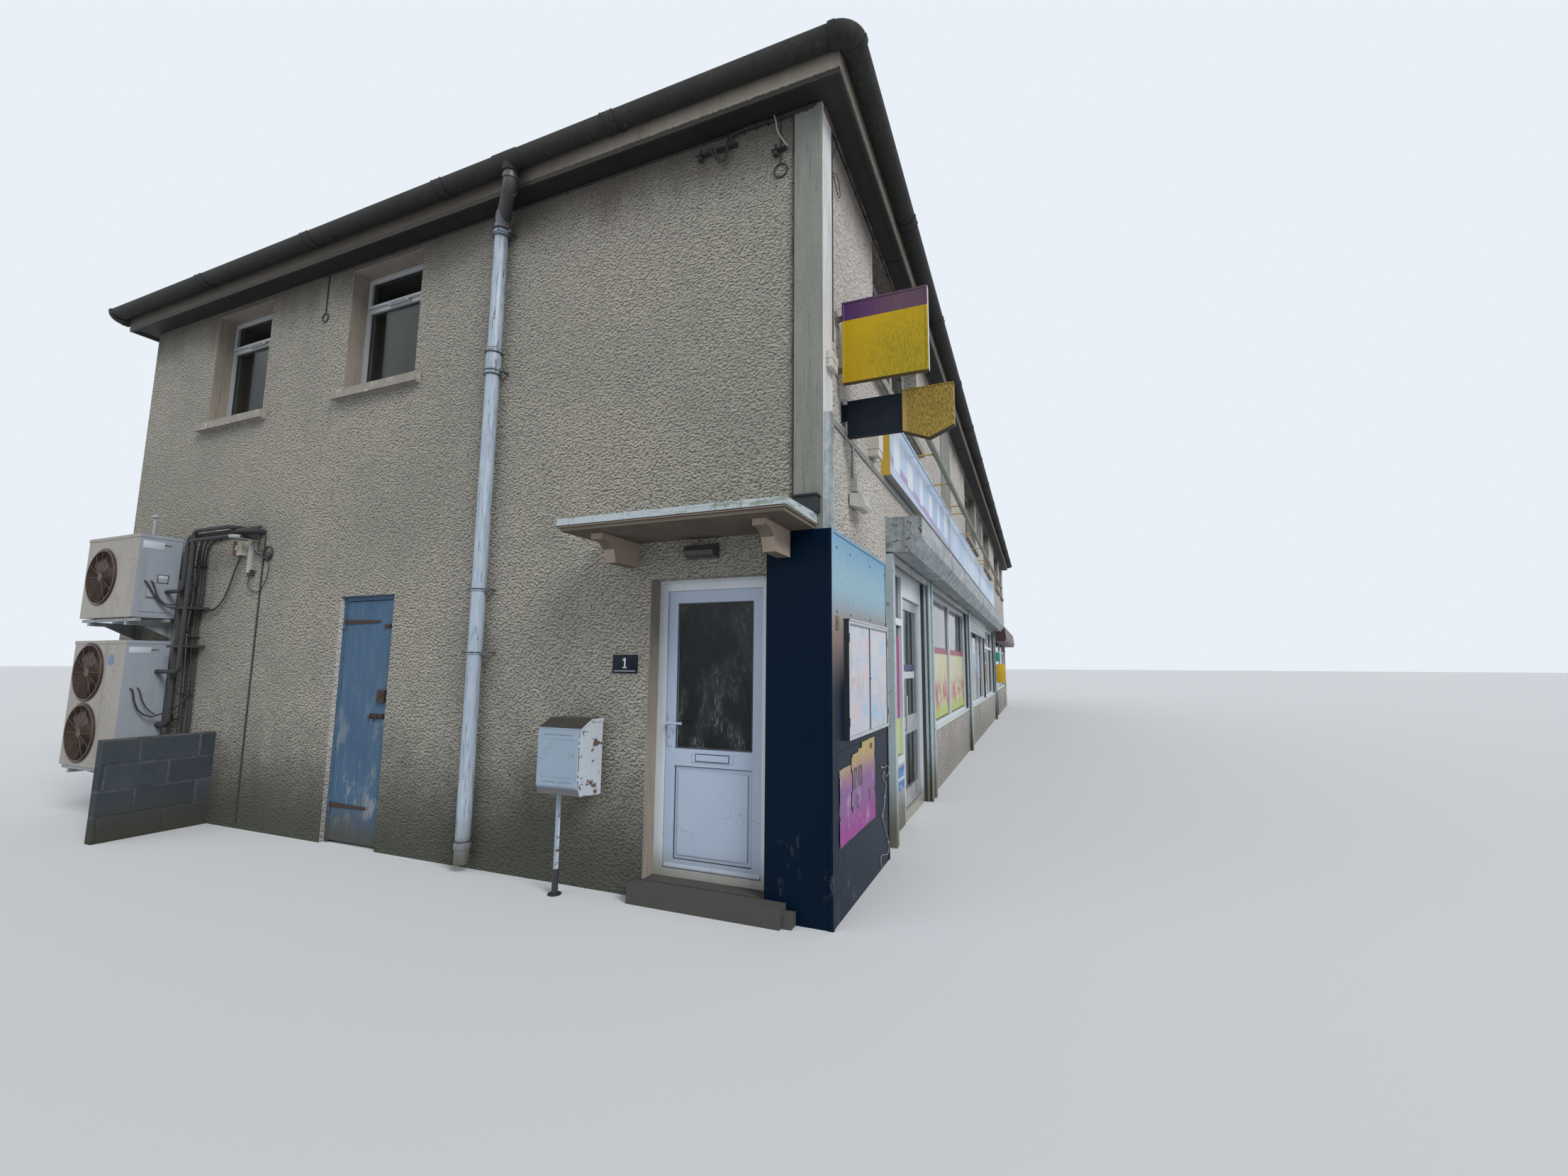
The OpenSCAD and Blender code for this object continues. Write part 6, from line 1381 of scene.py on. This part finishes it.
for y, z in [(6.4, 2.975), (6.78, 2.972)]:
    straps.append(slab((-0.046, y, z - 0.075), (0.002, y + 0.012, z + 0.025), 0.003))
whole("condenser_wiring", wiring + straps, lagging)

grey_sheath = skin = Finish("grey_sheath", 0.5)
skin.base(skin.noise(9, 5), (0.26, 0.255, 0.24), (0.46, 0.45, 0.42))
skin.relief(skin.noise(60), 0.0004)
pale_wiring = [cable(0.008, (-0.106, 7.375, 2.9), (-0.085, 7.3, 2.893), (-0.06, 7.2, 2.91),
                     (-0.045, 7.064, 2.985), (-0.04, 6.9, 2.998), (-0.04, 6.748, 2.992),
                     (-0.036, 6.411, 3), (-0.03, 6.1, 2.975)),
               cable(0.006, (-0.03, 0.352, 5.617), (-0.032, 0.338, 5.56), (-0.03, 0.33, 5.5),
                     (-0.026, 0.285, 5.4), (-0.022, 0.25, 5.345))]
whole("pale_wiring", pale_wiring, grey_sheath)

# Wiring under the eaves: a pigtail from the bar bracket, clipped along the top of the end
# wall to the corner; two faded brown cables go on under the street's soffit, and one black
# cable runs down the corner's band to the signs.
eaves_wiring = [cable(0.0085, (-0.024, 0.903, 5.525), (-0.05, 0.88, 5.5), (-0.052, 0.835, 5.43),
                      (-0.046, 0.79, 5.375), (-0.044, 0.76, 5.385), (-0.04, 0.744, 5.48),
                      (-0.034, 0.722, 5.56), (-0.026, 0.66, 5.596), (-0.022, 0.56, 5.606),
                      (-0.022, 0.352, 5.6), (-0.022, 0.15, 5.606), (-0.02, 0.03, 5.606)),
                cable(0.007, (-0.024, 0.87, 5.53), (-0.056, 0.85, 5.505), (-0.06, 0.8, 5.41),
                      (-0.054, 0.765, 5.36), (-0.05, 0.735, 5.4), (-0.044, 0.722, 5.5),
                      (-0.036, 0.69, 5.57), (-0.03, 0.6, 5.588), (-0.024, 0.45, 5.59),
                      (-0.024, 0.25, 5.586), (-0.026, 0.05, 5.59)),
                cable(0.005, (0.205, -0.016, 5.56), (0.203, -0.017, 5.3), (0.21, -0.016, 5),
                      (0.202, -0.018, 4.6), (0.206, -0.016, 4.238), (0.204, -0.016, 3.9)),
                cable(0.0035, (0.3, -0.016, 5.505), (0.245, -0.016, 5.4), (0.222, -0.016, 5.245),
                      (0.3, -0.018, 5.285), (0.38, -0.018, 5.25), (0.385, -0.018, 5.155),
                      (0.3, -0.018, 5.16), (0.224, -0.016, 5.215), (0.212, -0.016, 5.1))]
whole("eaves_wiring", eaves_wiring, lagging)
random.seed(29)
edge_y = 0.208
edge_run = [(-0.014, edge_y + random.uniform(-0.004, 0.004), 5.59 - 0.155 * k) for k in range(19)]
edge_run += [(-0.014, edge_y - 0.006, 2.655), (-0.016, edge_y - 0.038, 2.61),
             (-0.02, edge_y - 0.09, 2.602)]
edge_cable = [cable(0.0058, *edge_run)]
for k in range(1, 12):
    edge_cable.append(slab((-0.0205, edge_y - 0.009, 5.56 - 0.262 * k),
                           (0.001, edge_y + 0.0095, 5.568 - 0.262 * k), 0.001))
whole("corner_edge_cable", edge_cable, lagging)

skin = Finish("brown_sheath", 0.55)
skin.base(span(skin.noise(5, 5), 0.4, 0.6), (0.105, 0.068, 0.05), (0.03, 0.024, 0.022))
skin.relief(skin.noise(60), 0.0004)
random.seed(11)
brown = []
for z, y, radius in [(5.596, -0.02, 0.0075), (5.578, -0.018, 0.0065)]:
    way = [(0.02, y - 0.004, z)]
    for k in range(1, 20):
        way.append((0.3 * k, y, z + random.uniform(-0.006, 0.005)))
    brown.append(cable(radius, *way))
whole("street_eaves_cables", brown, skin)
cable_clips = [slab((0.3 * k - 0.006, -0.032, 5.568), (0.3 * k + 0.006, 0.003, 5.607), 0.002)
               for k in range(1, 20)]
for y in [0.11 + 0.1 * k for k in range(7)]:
    cable_clips.append(slab((-0.033, y - 0.004, 5.578), (0.002, y + 0.004, 5.616), 0.002))
whole("eaves_cable_clips", cable_clips, lagging)

# Bits on the cladding: a stiff galvanised wire stapled down the sheet's edge in loops and
# a small tarnished brass plate by the notice case.
wire_knots = [
    (1.28, 0.78), (1.35, 0.768), (1.45, 0.765), (1.515, 0.728), (1.47, 0.69), (1.39, 0.696),
    (1.33, 0.735), (1.31, 0.7), (1.34, 0.66), (1.41, 0.627), (1.39, 0.573), (1.364, 0.534),
    (1.32, 0.452), (1.275, 0.4), (1.345, 0.311), (1.405, 0.23), (1.47, 0.15), (1.466, 0.086),
    (1.3, 0.096), (1.205, 0.106), (1.203, 0.04), (1.245, 0.01)]
loops = cable(0.0022, *[(x, -0.0745, z) for x, z in wire_knots])
staples = [slab((x - 0.01, -0.0775, z - 0.006), (x + 0.01, -0.0655, z + 0.006), 0.001)
           for x, z in [(1.28, 0.78), (1.364, 0.534), (1.275, 0.4), (1.47, 0.15)]]
whole("stapled_wire", [loops] + staples, grey_sheath)
skin = Finish("tarnished_brass", 0.55, metallic=0.4)
skin.base(skin.noise(60, 5, 0.7), (0.05, 0.045, 0.025), (0.26, 0.22, 0.12))
skin.relief(skin.noise(120), 0.001)
tag = [slab((0.066, -0.0725, 1.828), (0.132, -0.0655, 1.922), 0.003),
       pin((0.099, -0.0765, 1.88), (0.099, -0.07, 1.88), 0.02, 18)]
whole("brass_plate", tag, skin)

# Boards by the far shop: two small plain plastic boards, green over yellow, standing out
# from the wall on metal pins.
skin = Finish("small_board_print", 0.4)
skin.base(skin.z > 1.69, mix(skin.noise(9, 3), (0.6, 0.36, 0.01), (0.7, 0.45, 0.04)),
          (0.03, 0.3, 0.28))
skin.relief(skin.noise(40), 0.0004)
boards = [slab((16.5, -0.32, 1.09), (16.512, -0.05, 1.65), 0.004),
          slab((16.5, -0.18, 1.735), (16.512, -0.05, 2.01), 0.004)]
whole("far_shop_boards", boards, skin)
pins = [pin((16.506, -0.056, z), (16.506, 0.002, z), 0.006, 8) for z in (1.2, 1.55, 1.8, 1.95)]
whole("far_shop_board_pins", pins, black_iron)

# Screen wall: four courses of hollow concrete blocks, mortar proud and smeared, the top
# damp and mossy.
skin = Finish("screen_blocks", 0.9, specular=0.2)
block_high, block_wide = (0.225, 0.45)
course = maths("FLOOR", skin.z / block_high)
shifted = skin.x + course * 0.225
upright = off_middle(shifted / block_wide)
level = off_middle(skin.z / block_high)
smear = (skin.noise(9, 5, 0.7) - 0.5) * 0.1
joint = maths("MAXIMUM", span(upright + smear * 0.5, 0.47, 0.482),
              span(level + smear, 0.435, 0.46))
skin.base(skin.noise(3, 6, 0.65), (0.024, 0.031, 0.042), (0.085, 0.098, 0.118))
own_block = skin.node("CombineXYZ", X=maths("FLOOR", shifted / block_wide), Y=course)
skin.coat(skin.node("TexWhiteNoise", "Value", Vector=own_block) * 0.55, (0.018, 0.023, 0.03))
skin.coat(skin.specks(60, 0.4), (0.02, 0.023, 0.027))
smeared = span(skin.noise(4, 5, 0.7), 0.4, 0.62, 0.12, 0.7)
skin.coat(joint * smeared, (0.115, 0.122, 0.13))
mossy = span(skin.z, 0.78, 0.9) * span(skin.noise(9, 6), 0.42, 0.58)
skin.coat(mossy * 0.7, (0.05, 0.056, 0.04))
skin.coat(skin.splash(0.15, 0.5), (0.045, 0.045, 0.038))
rough = skin.noise(90, 5, 0.7) * 0.5 + joint * -0.6
skin.relief(rough, 0.006)
dress(skin, "screen_wall")

# Far shop's canopy: dark painted sheet over a box frame fixed above the far shop front,
# faded reddish in patches and streaked by rain.
skin = Finish("dark_canopy_paint", 0.45)
skin.base(skin.noise(3, 5), (0.03, 0.02, 0.022), (0.085, 0.04, 0.04))
skin.coat(skin.rain(12, 0.6), (0.12, 0.105, 0.095))
skin.relief(skin.noise(30), 0.001)
dress(skin, "far_shop_canopy")

# The picture is shown plainly.
bpy.context.scene.view_settings.view_transform = "Standard"
